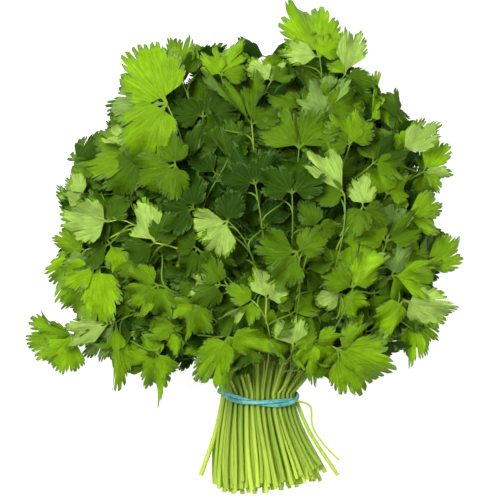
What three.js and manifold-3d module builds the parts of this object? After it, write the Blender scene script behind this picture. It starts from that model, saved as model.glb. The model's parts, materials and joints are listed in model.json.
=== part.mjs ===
// A bunch of cut coriander, tied with a rubber band and lying on a flat surface.
// Millimetres. +Y runs from the cut ends to the leaf tips, +X is to the right seen from above,
// +Z is up and the surface is z = 0. While it is being laid out, y = 0 is at the band.
import * as THREE from 'three';
import { mergeVertices } from 'three/addons/utils/BufferGeometryUtils.js';
import Module from 'manifold-3d';

const manifold = await Module();
manifold.setup();

// Driving dimensions
const STEM_RADIUS = 1.3;
const STEM_SIDES = 5;
const BRANCH_RADIUS = 0.9;
const LEAF_THICKNESS = 0.8;
const CLEARANCE = 0.35;
const CUT_Y = -55;
const CUT_Y_SPREAD = 3;

// The neck: the stems stand in two elliptical rings where the band draws them together.
const NECK = { halfWidth: 20, halfHeight: 13.6, z: 22 };
const RING_STEP = 3.1;
const OUTER_SLOTS = 35;
const INNER_SLOTS = 28;
const WIDEST_BEND = 0.1;
// The cut ends fan out, more to the right than to the left.
const CUT_FAN = { shiftX: 6, spreadX: 1.6, z: 18, spreadZ: 1.2 };

// The crown of leaves: a low dome over the stems, and its nearly flat underside.
const CROWN = { x: -6, y: 108, halfWidth: 120, toNeck: 112, toTips: 104, rimZ: 40, topZ: 98 };
const LOWEST_RIM_Z = 12;
const SLOPE_FOLLOWED = 0.6;

const COLOURS = { leaf: 0x5f8c1e, stem: 0x8fb53a, band: 0x5aa79b };
const ROUGHNESS = { plant: 0.5, band: 0.45 };

const radians = THREE.MathUtils.degToRad;
const clamp = THREE.MathUtils.clamp;

const SEED = 7;

// A repeatable spread of values between -1 and 1 for item i.
function scatter(i, salt) {
  const wave = Math.sin(i * 127.1 + salt * 311.7 + SEED) * 43758.5453;
  return 2 * (wave - Math.floor(wave)) - 1;
}

// ---------- the crown's surfaces

// How far out a place is: 0 at the middle of the crown, 1 at its rim.
function reach(x, y) {
  const along = y < CROWN.y ? CROWN.toNeck : CROWN.toTips;
  return Math.hypot((x - CROWN.x) / CROWN.halfWidth, (y - CROWN.y) / along);
}

function crownTop(x, y) {
  const height = CROWN.rimZ + (CROWN.topZ - CROWN.rimZ) * (1 - reach(x, y) ** 2);
  return Math.max(height, LOWEST_RIM_Z);
}

// ---------- solids

function solidFrom(geometry) {
  geometry.deleteAttribute('normal');
  geometry.deleteAttribute('uv');
  const merged = mergeVertices(geometry);
  return new manifold.Manifold(new manifold.Mesh({
    numProp: 3,
    vertProperties: merged.attributes.position.array,
    triVerts: new Uint32Array(merged.index.array),
  }));
}

function geometryFrom(solid) {
  const mesh = solid.getMesh();
  const geometry = new THREE.BufferGeometry();
  geometry.setAttribute('position', new THREE.BufferAttribute(mesh.vertProperties, 3));
  geometry.setIndex(new THREE.BufferAttribute(mesh.triVerts, 1));
  return geometry;
}

function polygonShape(radius, sides) {
  const shape = new THREE.Shape();
  for (let i = 0; i < sides; i += 1) {
    const angle = (i / sides) * 2 * Math.PI;
    const step = i === 0 ? 'moveTo' : 'lineTo';
    shape[step](radius * Math.cos(angle), radius * Math.sin(angle));
  }
  return shape;
}

function tube(path, radius, steps, sides = STEM_SIDES) {
  const options = { steps, extrudePath: path, bevelEnabled: false };
  return new THREE.ExtrudeGeometry(polygonShape(radius, sides), options);
}

// The plane of a leaflet: u to its tip, v across it, n out of its face.
function bladeFrame(hub, blade, surface, spread) {
  const heading = radians(blade.heading);
  const plan = new THREE.Vector2(Math.cos(heading), Math.sin(heading));
  const tip = [hub.x + blade.length * plan.x, hub.y + blade.length * plan.y];
  const rise = (surface(...tip) - surface(hub.x, hub.y)) * SLOPE_FOLLOWED / blade.length;
  const pitch = Math.atan(rise) + radians(blade.pitch + spread);
  const side = [hub.x - 5 * plan.y, hub.y + 5 * plan.x];
  const across = (surface(...side) - surface(hub.x, hub.y)) * SLOPE_FOLLOWED / 5;
  const u = new THREE.Vector3(plan.x, plan.y, Math.tan(pitch)).normalize();
  const v = new THREE.Vector3(-plan.y, plan.x, across);
  v.addScaledVector(u, -v.dot(u)).normalize();
  v.applyAxisAngle(u, radians(blade.roll));
  return { u, v, n: new THREE.Vector3().crossVectors(u, v), stretch: 1 / Math.cos(pitch) };
}

// Half the outline of a leaflet, as shares of its length and of half its width: the end of its
// short stalk, a side lobe and the dip before the middle lobe.
const LOBES = [[0.24, 0], [0.62, 1], [0.78, 0.5]];
const LAYER_PITCH = 9;

// Corners round one leaflet from its right side to its left, on its middle plane.
function bladeCorners(hub, blade, { u, v, n, stretch }, grow) {
  const length = blade.length * stretch;
  const strip = BRANCH_RADIUS + grow;
  const half = blade.width / 2 + grow;
  const at = (along, across) => hub.clone().addScaledVector(u, along).addScaledVector(v, across)
    .addScaledVector(n, blade.drop);
  const right = LOBES.map(([along, out]) => at(along * length, -Math.max(out * half, strip)));
  const left = LOBES.map(([along, out]) => at(along * length, Math.max(out * half, strip)));
  return [...right, at(length + grow, 0), ...left.reverse()];
}

function turnBetween(from, to) {
  return THREE.MathUtils.euclideanModulo(to - from - 1e-6, 360) + 1e-6;
}

// Leaflets that cross each other seen from above lie in two layers that open out of the hub.
function layers(blades) {
  const half = (b) => THREE.MathUtils.radToDeg(Math.atan2(b.width / 2, LOBES[1][0] * b.length));
  const crossing = blades.some((b, k) => {
    const next = blades[(k + 1) % blades.length];
    return turnBetween(b.heading, next.heading) < half(b) + half(next) + 6;
  });
  return blades.map((_, k) => (crossing ? LAYER_PITCH * (k % 2 ? -1 : 1) : 0));
}

// A compound leaf: its leaflets folded about the hub where their stalks meet, in one thin plate.
function leafGeometry(hub, { blades }, surface, grow) {
  const inOrder = blades.toSorted((a, b) => turnBetween(0, a.heading) - turnBetween(0, b.heading));
  const spread = layers(inOrder);
  const frames = inOrder.map((b, k) => bladeFrame(hub, b, surface, spread[k]));
  const up = frames.reduce((sum, { n }) => sum.add(n), new THREE.Vector3()).normalize();
  const corners = [];
  const normals = [];
  const flat = [];
  inOrder.forEach((b, k) => {
    const round = bladeCorners(hub, b, frames[k], grow);
    // the same corners laid out flat, with the leaflets evenly apart, to be cut into triangles
    const turn = (2 * Math.PI * k) / inOrder.length;
    round.forEach((corner, c) => {
      const [along, out] = LOBES[Math.min(c, round.length - 1 - c)] ?? [1, 0];
      const across = c < LOBES.length ? -Math.max(out, 0.2) : Math.max(out, 0.2);
      const point = new THREE.Vector2(10 * along, c === LOBES.length ? 0 : 3 * across);
      corners.push(corner);
      normals.push(frames[k].n);
      flat.push(point.rotateAround(new THREE.Vector2(), turn));
    });
    const next = inOrder[(k + 1) % inOrder.length];
    const gap = radians(turnBetween(b.heading, next.heading));
    const notch = radians(b.heading) + gap / 2;
    const out = Math.min((BRANCH_RADIUS + grow) / Math.sin(gap / 2), 0.2 * b.length);
    const aside = new THREE.Vector3(Math.cos(notch), Math.sin(notch), 0);
    corners.push(hub.clone().addScaledVector(aside, out).addScaledVector(up, b.drop));
    normals.push(up);
    flat.push(new THREE.Vector2(1, 0).rotateAround(
      new THREE.Vector2(), turn + Math.PI / inOrder.length,
    ));
  });
  return plate(corners, normals, flat, LEAF_THICKNESS / 2 + grow);
}

// A closed plate round the given corners, half as thick to each side along their normals.
function plate(corners, normals, flat, half) {
  const count = corners.length;
  const faces = THREE.ShapeUtils.triangulateShape(flat, []);
  const points = [half, -half].flatMap((off) => (
    corners.flatMap((corner, k) => corner.clone().addScaledVector(normals[k], off).toArray())
  ));
  const index = faces.flatMap(([a, b, c]) => [a, b, c, c + count, b + count, a + count]);
  for (let k = 0; k < count; k += 1) {
    const next = (k + 1) % count;
    index.push(k + count, next + count, k, next + count, next, k);
  }
  const geometry = new THREE.BufferGeometry();
  geometry.setAttribute('position', new THREE.Float32BufferAttribute(points, 3));
  geometry.setIndex(index);
  return geometry;
}

// ---------- the layout of the leaves

// One leaflet: heading in degrees from +X towards +Y, length and width seen from above,
// extra pitch of its tip and roll about its length, and how far its plane is off the hub.
function blade(heading, length, width, pitch = 0, roll = 0, drop = 0) {
  return { heading, length, width, pitch, roll, drop };
}

// One compound leaf: where its leaflets meet, how deep under the crown's surface, its leaflets.
function leaf(x, y, depth, ...blades) {
  return { x, y, depth, blades };
}

// One sprig: the heading in which its stem reaches its first leaf, and its one or two leaves.
function sprig(approach, ...leaves) {
  return { approach, leaves, surface: crownTop };
}

// The sprigs that show from above, from the neck towards the tips on the left side.
const LEFT_SPRIGS = [
  sprig(250, leaf(-17, 33, 0, blade(285, 30, 28), blade(238, 24, 15), blade(345, 22, 16))),
  sprig(150, leaf(-35, 51, 1, blade(245, 22, 13), blade(283, 18, 13), blade(190, 16, 12))),
  sprig(245,
    leaf(-57, 24, 0, blade(264, 24, 14), blade(308, 17, 12), blade(205, 17, 12)),
    leaf(-62, 40, 8, blade(205, 20, 16), blade(255, 15, 12))),
  sprig(215,
    leaf(-80, 41, 0, blade(197, 36, 14, 0, 15), blade(262, 36, 13), blade(228, 30, 16)),
    leaf(-104, 33, 2, blade(188, 26, 20), blade(160, 23, 10), blade(232, 21, 18))),
  sprig(165, leaf(-56, 62, 2, blade(217, 22, 17), blade(278, 20, 16), blade(160, 18, 15))),
  sprig(175,
    leaf(-21, 62, 2, blade(180, 22, 14), blade(220, 20, 14), blade(120, 16, 12)),
    leaf(-34, 82, 6, blade(318, 26, 18), blade(240, 16, 13), blade(150, 16, 14))),
  sprig(133,
    leaf(-3, 53, 0, blade(214, 25, 12), blade(150, 15, 12), blade(255, 12, 10)),
    leaf(4, 54, 1, blade(100, 16, 15), blade(30, 13, 11))),
  sprig(190, leaf(-89, 72, 2, blade(243, 38, 24), blade(272, 33, 20), blade(200, 22, 16))),
  sprig(195,
    leaf(-83, 97, 0, blade(172, 24, 23), blade(108, 20, 17), blade(60, 14, 12)),
    leaf(-97, 81, 5, blade(247, 20, 17), blade(222, 32, 20), blade(160, 18, 15))),
  sprig(178, leaf(-57, 85, -2, blade(117, 24, 22), blade(205, 22, 14), blade(60, 16, 14))),
  sprig(140,
    leaf(-17, 97, 1, blade(188, 22, 17), blade(245, 21, 17), blade(80, 16, 14)),
    leaf(-36, 104, 8, blade(205, 23, 19), blade(95, 18, 16), blade(150, 20, 16))),
  sprig(150,
    leaf(-65, 133, 4, blade(178, 38, 25), blade(145, 27, 17, 0, 25), blade(222, 25, 20)),
    leaf(-98, 112, 8, blade(172, 16, 14), blade(215, 15, 13), blade(110, 13, 11))),
  sprig(121,
    leaf(-46, 128, 0, blade(200, 25, 20), blade(262, 18, 15), blade(100, 16, 14)),
    leaf(-17, 131, 6, blade(122, 22, 13, 0, 35), blade(55, 15, 12))),
  sprig(100, leaf(-2, 117, 3, blade(112, 27, 17), blade(158, 21, 15), blade(60, 18, 15))),
  sprig(117,
    leaf(-51, 162, 0, blade(118, 37, 31), blade(178, 37, 26), blade(233, 34, 29)),
    leaf(-72, 144, 14, blade(163, 18, 14), blade(205, 15, 12))),
  sprig(119,
    leaf(-44, 177, 3, blade(100, 26, 19), blade(50, 17, 11, 0, 40), blade(150, 13, 10)),
    leaf(-31, 155, 14, blade(95, 24, 20), blade(155, 20, 17), blade(20, 18, 16))),
  sprig(95,
    leaf(-4, 150, 2, blade(128, 36, 17, 0, 30), blade(86, 27, 15, 0, -30), blade(30, 16, 13))),
  sprig(105,
    leaf(-21, 178, 4, blade(72, 24, 17), blade(125, 15, 12), blade(20, 14, 12)),
    leaf(7, 175, 5, blade(142, 18, 13), blade(85, 15, 12), blade(35, 13, 10))),
];

// The same on the right side.
const RIGHT_SPRIGS = [
  sprig(60,
    leaf(19, 27, -1, blade(98, 19, 18), blade(30, 15, 11)),
    leaf(31, 31, 3, blade(290, 25, 22), blade(235, 18, 14), blade(350, 16, 14))),
  sprig(330, leaf(44, 26, 0, blade(321, 39, 33), blade(20, 22, 18), blade(262, 16, 13))),
  sprig(80,
    leaf(52, 60, 1, blade(97, 36, 24), blade(50, 24, 17), blade(150, 18, 14)),
    leaf(46, 57, 7, blade(255, 13, 12), blade(200, 14, 12), blade(320, 16, 14))),
  sprig(30,
    leaf(81, 53, 1, blade(354, 30, 19), blade(292, 18, 15), blade(235, 22, 16)),
    leaf(88, 44, 8, blade(300, 20, 14), blade(262, 24, 13), blade(345, 13, 11))),
  sprig(25,
    leaf(74, 67, 2, blade(355, 29, 19), blade(310, 20, 15), blade(60, 16, 14)),
    leaf(91, 71, 5, blade(60, 21, 13), blade(25, 26, 15), blade(100, 17, 13))),
  sprig(100,
    leaf(21, 80, 0, blade(172, 25, 21), blade(238, 23, 18), blade(35, 18, 14)),
    leaf(31, 93, 4, blade(2, 13, 10), blade(70, 15, 13), blade(110, 15, 13))),
  sprig(75, leaf(71, 86, 2, blade(83, 27, 21), blade(28, 22, 16), blade(150, 19, 15))),
  sprig(45,
    leaf(81, 100, 3, blade(8, 24, 22), blade(325, 18, 15), blade(120, 13, 11)),
    leaf(71, 112, 2, blade(108, 17, 15), blade(62, 17, 15), blade(20, 17, 14))),
  sprig(100, leaf(18, 112, 5, blade(95, 27, 23), blade(40, 20, 17), blade(145, 19, 16))),
  sprig(110,
    leaf(47, 111, 2, blade(121, 30, 19), blade(170, 18, 15)),
    leaf(57, 105, 2, blade(90, 18, 14), blade(330, 16, 13), blade(250, 16, 14))),
  sprig(85, leaf(22, 137, 3, blade(132, 25, 19), blade(92, 22, 18), blade(48, 27, 21))),
  sprig(70,
    leaf(50, 139, 4, blade(105, 22, 18), blade(62, 21, 17), blade(165, 16, 14)),
    leaf(63, 129, 9, blade(85, 20, 16), blade(35, 24, 16), blade(350, 18, 14))),
  sprig(55,
    leaf(79, 135, 4, blade(102, 23, 16), blade(50, 28, 15), blade(150, 18, 14)),
    leaf(92, 125, 4, blade(62, 22, 15), blade(352, 15, 13), blade(300, 14, 11))),
  sprig(85, leaf(38, 157, 5, blade(88, 25, 22), blade(140, 20, 16), blade(30, 20, 17))),
  sprig(100, leaf(34, 189, 2, blade(104, 32, 29), blade(168, 22, 13), blade(52, 17, 14))),
  sprig(70,
    leaf(48, 179, 4, blade(75, 31, 15), blade(330, 17, 15), blade(125, 13, 11)),
    leaf(63, 154, 10, blade(84, 25, 12, 0, 35), blade(40, 15, 12))),
];

// The sprigs underneath and round the sides, spread evenly over the crown's underside.
const UNDER_COUNT = 17;
const UNDER_SPREAD = { x: 98, y: 86 };
const GOLDEN_ANGLE = 137.508;
const FIRST_ANGLE = 60;
// Four that stand well apart lie flat on the surface and carry the bunch.
const FLAT_ONES = [4, 5, 6, 7];

function crownUnder(x, y) {
  return CROWN.rimZ * reach(x, y) ** 3 + 3;
}

function lyingFlat() {
  return STEM_RADIUS;
}

function underSprig(i) {
  const out = Math.sqrt((i + 0.5) / UNDER_COUNT);
  const around = radians(i * GOLDEN_ANGLE + FIRST_ANGLE);
  const x = CROWN.x + out * UNDER_SPREAD.x * Math.cos(around);
  const y = CROWN.y + out * UNDER_SPREAD.y * Math.sin(around);
  const flat = FLAT_ONES.includes(i);
  const outward = THREE.MathUtils.radToDeg(Math.atan2(y + 20, x));
  const drop = flat ? LEAF_THICKNESS / 2 - STEM_RADIUS : 0;
  const blades = [0, 85, -86].map((turn, k) => {
    const heading = outward + turn + 7 * scatter(i, k);
    const length = (k === 0 ? 30 : 25) + 3 * scatter(i, k + 3);
    const tilt = flat ? [0, 0] : [4 + 8 * scatter(i, k + 6), 14 * scatter(i, k + 9)];
    return blade(heading, length, 0.75 * length, ...tilt, drop);
  });
  const under = sprig(outward, leaf(x, y, 0, ...blades));
  under.surface = flat ? lyingFlat : crownUnder;
  under.flat = flat;
  return under;
}

// ---------- the stems

// Two smooth stretches that meet at the band: from the cut end, and on to the first leaf.
class StemPath extends THREE.Curve {
  constructor(below, above, share) {
    super();
    this.below = below;
    this.above = above;
    this.share = share;
  }

  getPoint(t, target = new THREE.Vector3()) {
    if (t < this.share) return this.below.getPoint(t / this.share, target);
    return this.above.getPoint((t - this.share) / (1 - this.share), target);
  }

  // Rings fall at even steps of the parameter, so that every stem has one at the band.
  getPointAt(u, target) {
    return this.getPoint(u, target);
  }

  getTangentAt(u, target) {
    return this.getTangent(u, target);
  }
}

const BELOW_STEPS = 2;
const ABOVE_STEPS = 6;
const STEM_STEPS = BELOW_STEPS + ABOVE_STEPS;

function cutEnd(slot, i) {
  return new THREE.Vector3(
    CUT_FAN.shiftX + CUT_FAN.spreadX * slot.x + 0.4 * scatter(i, 21),
    CUT_Y + CUT_Y_SPREAD * scatter(i, 22),
    CUT_FAN.z + CUT_FAN.spreadZ * (slot.z - NECK.z),
  );
}

const LEAVING_NECK = { sideways: 0.1, upwards: 0.08 };

function leavingNeck(slot) {
  const sideways = LEAVING_NECK.sideways * slot.x / NECK.halfWidth;
  const upwards = LEAVING_NECK.upwards * (slot.z - NECK.z) / NECK.halfHeight;
  return new THREE.Vector3(sideways, 1, upwards).normalize();
}

const ALONG = new THREE.Vector3(0, 1, 0);
// A stem is straight for this long below the band, and its curve above the band is steered from
// points this share of its span away from its two ends, within limits.
const STRAIGHT_BELOW = 15;
const BENDS_FROM_CUT = 0.4;
const STEERED_FROM = 0.3;
const STEERED_AT_NECK = [9, 50];
const STEERED_AT_LEAF = [10, 46];

function stemPath(slot, i, hub, arrival, { bow, slack }) {
  const leaving = leavingNeck(slot);
  const end = cutEnd(slot, i);
  const below = new THREE.CubicBezierCurve3(
    end,
    end.clone().lerp(slot, BENDS_FROM_CUT),
    slot.clone().addScaledVector(ALONG, -STRAIGHT_BELOW),
    slot,
  );
  const steered = STEERED_FROM * slot.distanceTo(hub);
  const fromNeck = clamp(steered, ...STEERED_AT_NECK) * slack;
  const fromLeaf = clamp(steered, ...STEERED_AT_LEAF) * slack;
  const above = new THREE.CubicBezierCurve3(
    slot,
    slot.clone().addScaledVector(leaving, fromNeck).addScaledVector(bow, 0.5),
    hub.clone().addScaledVector(arrival, -fromLeaf).add(bow),
    hub,
  );
  return new StemPath(below, above, BELOW_STEPS / STEM_STEPS);
}

function direction(heading, pitch) {
  const turn = radians(heading);
  return new THREE.Vector3(Math.cos(turn), Math.sin(turn), Math.tan(radians(pitch))).normalize();
}

const BRANCH_LEAVES_AT = 0.8;
const BRANCH_STEPS = 4;
const BRANCH_STEERED = { atStem: 0.35, atLeaf: 0.3 };

// The side stalk that carries a sprig's second leaf.
function branchPath(main, hub) {
  const from = main.getPoint(BRANCH_LEAVES_AT);
  const along = main.getTangent(BRANCH_LEAVES_AT);
  const reachOut = from.distanceTo(hub);
  const arrival = hub.clone().sub(from).normalize();
  return new THREE.CubicBezierCurve3(
    from,
    from.clone().addScaledVector(along, BRANCH_STEERED.atStem * reachOut),
    hub.clone().addScaledVector(arrival, -BRANCH_STEERED.atLeaf * reachOut),
    hub,
  );
}

// ---------- one sprig as a list of overlapping parts, or as one solid

function sprigParts(plan, slot, i, shift, grow) {
  const hubs = plan.leaves.map(({ x, y, depth }) => (
    new THREE.Vector3(x, y, plan.surface(x, y) - depth + shift.lift)
  ));
  const arrival = direction(plan.approach + shift.turn, plan.flat ? 0 : 10 + shift.pitch);
  const main = stemPath(slot, i, hubs[0], arrival, shift);
  const parts = [tube(main, STEM_RADIUS + grow, STEM_STEPS)];
  if (hubs.length > 1) {
    parts.push(tube(branchPath(main, hubs[1]), BRANCH_RADIUS + grow, BRANCH_STEPS));
  }
  plan.leaves.forEach((one, k) => parts.push(leafGeometry(hubs[k], one, plan.surface, grow)));
  return parts.map(solidFrom);
}

function joined(parts, name) {
  const whole = parts.reduce((sum, part) => sum.add(part));
  if (whole.decompose().length !== 1) throw new Error(`${name} is in pieces`);
  return whole;
}

// ---------- laying the sprigs in, one after another

function boxOf(solid) {
  const { min, max } = solid.boundingBox();
  return new THREE.Box3(new THREE.Vector3(...min), new THREE.Vector3(...max));
}

function touches(part, laid) {
  const box = boxOf(part);
  return laid.some((other) => {
    if (!box.intersectsBox(other.box)) return false;
    const common = part.intersect(other.solid);
    const hit = !common.isEmpty();
    common.delete();
    return hit;
  });
}

const TRIES = 400;
const FARTHEST = 40;

// How far try n strays from the plan: the stem bows, turns and slackens, the leaves lift a little.
function strayed(plan, i, n) {
  const far = FARTHEST * (n / TRIES);
  const draw = (salt) => far * scatter(n, i + salt);
  const rise = 0.5 * draw(180);
  const rest = plan.surface === crownUnder ? Math.abs(rise) : rise;
  return {
    bow: new THREE.Vector3(draw(0), 0, draw(60)),
    lift: plan.flat ? 0 : rest,
    turn: 1.2 * draw(240),
    pitch: 0.8 * draw(300),
    slack: 1 + 0.015 * draw(360),
  };
}

// Each sprig strays a little more at each try, until it lies clear of those before it.
function layIn(plan, slot, i, name, laid) {
  for (let n = 0; n < TRIES; n += 1) {
    const shift = strayed(plan, i, n);
    const grown = sprigParts(plan, slot, i, shift, CLEARANCE);
    const aboveSurface = grown.every((part) => boxOf(part).min.z > -CLEARANCE - 0.01);
    const clear = aboveSurface && !grown.some((part) => touches(part, laid));
    grown.forEach((part) => part.delete());
    if (clear) {
      const parts = sprigParts(plan, slot, i, shift, 0);
      parts.forEach((part) => laid.push({ solid: part, box: boxOf(part) }));
      return joined(parts, name);
    }
  }
  throw new Error(`${name} finds no room`);
}

// ---------- the neck

function ring(inset, count) {
  return Array.from({ length: count }, (_, k) => {
    const angle = evenAngle((k + 0.5) / count, inset);
    return new THREE.Vector3(
      (NECK.halfWidth - inset) * Math.cos(angle),
      0,
      NECK.z + (NECK.halfHeight - inset) * Math.sin(angle),
    );
  });
}

// The ellipse parameter at a given share of the way round, counted along the outline.
function evenAngle(share, inset) {
  const outline = new THREE.EllipseCurve(
    0, 0, NECK.halfWidth - inset, NECK.halfHeight - inset, -Math.PI, Math.PI,
  );
  outline.arcLengthDivisions = 720;
  return -Math.PI + 2 * Math.PI * outline.getUtoTmapping(share);
}

// Where a sprig's first leaf stands as seen from the neck: its angle round it and how far off.
function bearing(plan) {
  const { x, y, depth } = plan.leaves[0];
  const run = y + 40;
  const across = x / run / NECK.halfWidth;
  const up = (plan.surface(x, y) - depth - NECK.z) / run / NECK.halfHeight;
  return { angle: Math.atan2(up, across), off: Math.hypot(across, up) };
}

// No stem leaves from nearer to the middle of the neck than this, in a neck of radius 1.
const NEAREST_TO_MIDDLE = 0.75;

// How far a slot is from where a sprig's stem would best leave the neck.
function misfit(plan, slot) {
  const { angle, off } = bearing(plan);
  const out = clamp(0.45 + off / WIDEST_BEND, NEAREST_TO_MIDDLE, 1);
  const across = slot.x / NECK.halfWidth - out * Math.cos(angle);
  const up = (slot.z - NECK.z) / NECK.halfHeight - out * Math.sin(angle);
  return across ** 2 + up ** 2;
}

// Gives each sprig a slot, changing slots between sprigs as long as that brings them nearer to
// their best places, so that few stems have to cross.
function shareSlots(plans, slots) {
  const taken = [...slots];
  const cost = (k, slot) => (k < plans.length ? misfit(plans[k], slot) : 0);
  let changed = true;
  while (changed) {
    changed = false;
    for (let a = 0; a < plans.length; a += 1) {
      for (let b = a + 1; b < taken.length; b += 1) {
        const kept = cost(a, taken[a]) + cost(b, taken[b]);
        if (cost(a, taken[b]) + cost(b, taken[a]) < kept - 1e-6) {
          [taken[a], taken[b]] = [taken[b], taken[a]];
          changed = true;
        }
      }
    }
  }
  return new Map(plans.map((plan, k) => [plan, taken[k]]));
}

const COLUMN = {
  halfWidth: 15, halfHeight: 8.7, from: -54, to: 16, scallops: 15, bite: 0.07, flare: 1.6,
};

// The stems in the middle of the neck, packed against each other and joined in one fluted solid.
function innerStems() {
  const outline = new THREE.Shape();
  const corners = 2 * COLUMN.scallops;
  for (let k = 0; k < corners; k += 1) {
    const angle = (k / corners) * 2 * Math.PI;
    const size = 1 - (k % 2) * COLUMN.bite;
    const step = k === 0 ? 'moveTo' : 'lineTo';
    outline[step](size * Math.cos(angle), size * Math.sin(angle));
  }
  const depth = COLUMN.to - COLUMN.from;
  const geometry = new THREE.ExtrudeGeometry(outline, { depth, steps: 4, bevelEnabled: false });
  const position = geometry.attributes.position;
  for (let k = 0; k < position.count; k += 1) {
    const y = COLUMN.from + position.getZ(k);
    const fan = Math.max(y / CUT_Y, 0) ** COLUMN.flare;
    const x = COLUMN.halfWidth * position.getX(k);
    const z = COLUMN.halfHeight * position.getY(k);
    position.setXYZ(
      k,
      -(x * (1 + (CUT_FAN.spreadX - 1) * fan)) + CUT_FAN.shiftX * fan,
      y,
      NECK.z + (CUT_FAN.z - NECK.z) * fan + z * (1 + (CUT_FAN.spreadZ - 1) * fan),
    );
  }
  return solidFrom(geometry);
}

// Over the neck the band sags towards the cut ends, and it lies lower on the right.
const BAND = {
  radius: 0.95, strandsApart: 1.05, stepAcross: 1.3, gap: 0.35, twists: 2.5, phase: 0.6,
  sag: 8, bow: 0.625, tilt: 1,
};

// The rubber band goes twice round the neck, its two turns twisting about each other.
class BandPath extends THREE.Curve {
  getPoint(t, target = new THREE.Vector3()) {
    const around = 4 * Math.PI * t;
    const twist = BAND.twists * around + BAND.phase;
    const off = STEM_RADIUS + BAND.gap + BAND.radius + BAND.strandsApart;
    const out = off + BAND.strandsApart * Math.sin(twist);
    const x = (NECK.halfWidth + out) * Math.cos(around);
    const z = NECK.z + (NECK.halfHeight + out) * Math.sin(around);
    const bowed = 0.5 - BAND.bow * (x / NECK.halfWidth) ** 2;
    const sagging = BAND.sag * bowed * Math.sin(around) + BAND.tilt * Math.cos(around);
    return target.set(x, BAND.stepAcross * Math.cos(twist) - sagging, z);
  }
}

const BAND_STEPS = 84;
const BAND_SIDES = 5;

// A tube whose ends meet: the extruded caps lie on each other, and are left out.
function closedTube(path, radius, sides, steps) {
  const rings = Array.from({ length: steps }, (_, k) => path.getPoint(k / steps));
  const corners = [];
  rings.forEach((centre, k) => {
    const ahead = path.getPoint((k + 0.5) / steps).sub(path.getPoint((k - 0.5) / steps));
    const outward = new THREE.Vector3(centre.x, 0, centre.z - NECK.z);
    const across = new THREE.Vector3().crossVectors(ahead, outward).normalize();
    const out = new THREE.Vector3().crossVectors(across, ahead).normalize();
    for (let s = 0; s < sides; s += 1) {
      const angle = (s / sides) * 2 * Math.PI;
      const corner = centre.clone().addScaledVector(out, radius * Math.cos(angle));
      corners.push(...corner.addScaledVector(across, radius * Math.sin(angle)));
    }
  });
  const index = [];
  for (let k = 0; k < steps; k += 1) {
    for (let s = 0; s < sides; s += 1) {
      const [a, b] = [k * sides + s, k * sides + ((s + 1) % sides)];
      const [c, d] = [a, b].map((corner) => (corner + sides) % (steps * sides));
      index.push(a, b, c, b, d, c);
    }
  }
  const geometry = new THREE.BufferGeometry();
  geometry.setAttribute('position', new THREE.Float32BufferAttribute(corners, 3));
  geometry.setIndex(index);
  return geometry;
}

// ---------- stems without leaves

const LOOSE_TIP = 7;
const LOOSE_STEMS = [
  { side: 1, end: [45, -47, 24] },
  { side: -1, end: [-33, -47, 24] },
];

function looseStem({ end }, slot) {
  const from = new THREE.Vector3(...end);
  const below = new THREE.CubicBezierCurve3(
    from,
    from.clone().lerp(slot, BENDS_FROM_CUT),
    slot.clone().addScaledVector(ALONG, -STRAIGHT_BELOW),
    slot,
  );
  const above = new THREE.LineCurve3(slot, slot.clone().addScaledVector(ALONG, LOOSE_TIP));
  const steps = BELOW_STEPS + 1;
  return tube(new StemPath(below, above, BELOW_STEPS / steps), STEM_RADIUS, steps);
}

// A thin stalk that has slipped out of the band: it bows out beside the stems and then trails
// away from them.
const SLIPPED_STALK = {
  radius: 0.7,
  steps: 14,
  route: [
    [27, 1.5, 24.5], [28.6, -3, 25.2], [30.4, -9, 26], [29.5, -16, 26.5], [32.2, -23, 28],
    [38.5, -31, 29], [45.5, -38, 29],
  ],
};

// ---------- the bunch

const bunch = new THREE.Group();

function addPiece(name, geometry, colour, roughness) {
  geometry.computeVertexNormals();
  const material = new THREE.MeshStandardMaterial({ color: colour, roughness, metalness: 0 });
  const mesh = new THREE.Mesh(geometry, material);
  mesh.name = name;
  bunch.add(mesh);
}

const topSprigs = [...LEFT_SPRIGS, ...RIGHT_SPRIGS];
const underSprigs = Array.from({ length: UNDER_COUNT }, (_, i) => underSprig(i));
const sprigs = [...topSprigs, ...underSprigs];

const outerSlots = ring(0, OUTER_SLOTS);
const looseSlots = LOOSE_STEMS.map(({ side }) => (
  outerSlots.toSorted((a, b) => side * (b.x - a.x))[0]
));
const openSlots = outerSlots.filter((slot) => !looseSlots.includes(slot));
const slotOf = shareSlots(sprigs, [...openSlots, ...ring(RING_STEP, INNER_SLOTS)]);

const laid = [];
function layFixed(name, solid, colour, roughness) {
  laid.push({ solid, box: boxOf(solid) });
  addPiece(name, geometryFrom(solid), colour, roughness);
}

layFixed('inner_stems', innerStems(), COLOURS.stem, ROUGHNESS.plant);
const bandTube = closedTube(new BandPath(), BAND.radius, BAND_SIDES, BAND_STEPS);
layFixed('rubber_band', solidFrom(bandTube), COLOURS.band, ROUGHNESS.band);
LOOSE_STEMS.forEach((plan, k) => {
  layFixed(`loose_stem_${k + 1}`, solidFrom(looseStem(plan, looseSlots[k])), COLOURS.stem, ROUGHNESS.plant);
});
const slippedRoute = SLIPPED_STALK.route.map((at) => new THREE.Vector3(...at));
const slippedPath = new THREE.CatmullRomCurve3(slippedRoute);
const slippedTube = tube(slippedPath, SLIPPED_STALK.radius, SLIPPED_STALK.steps);
layFixed('slipped_stalk', solidFrom(slippedTube), COLOURS.stem, ROUGHNESS.plant);

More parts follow.
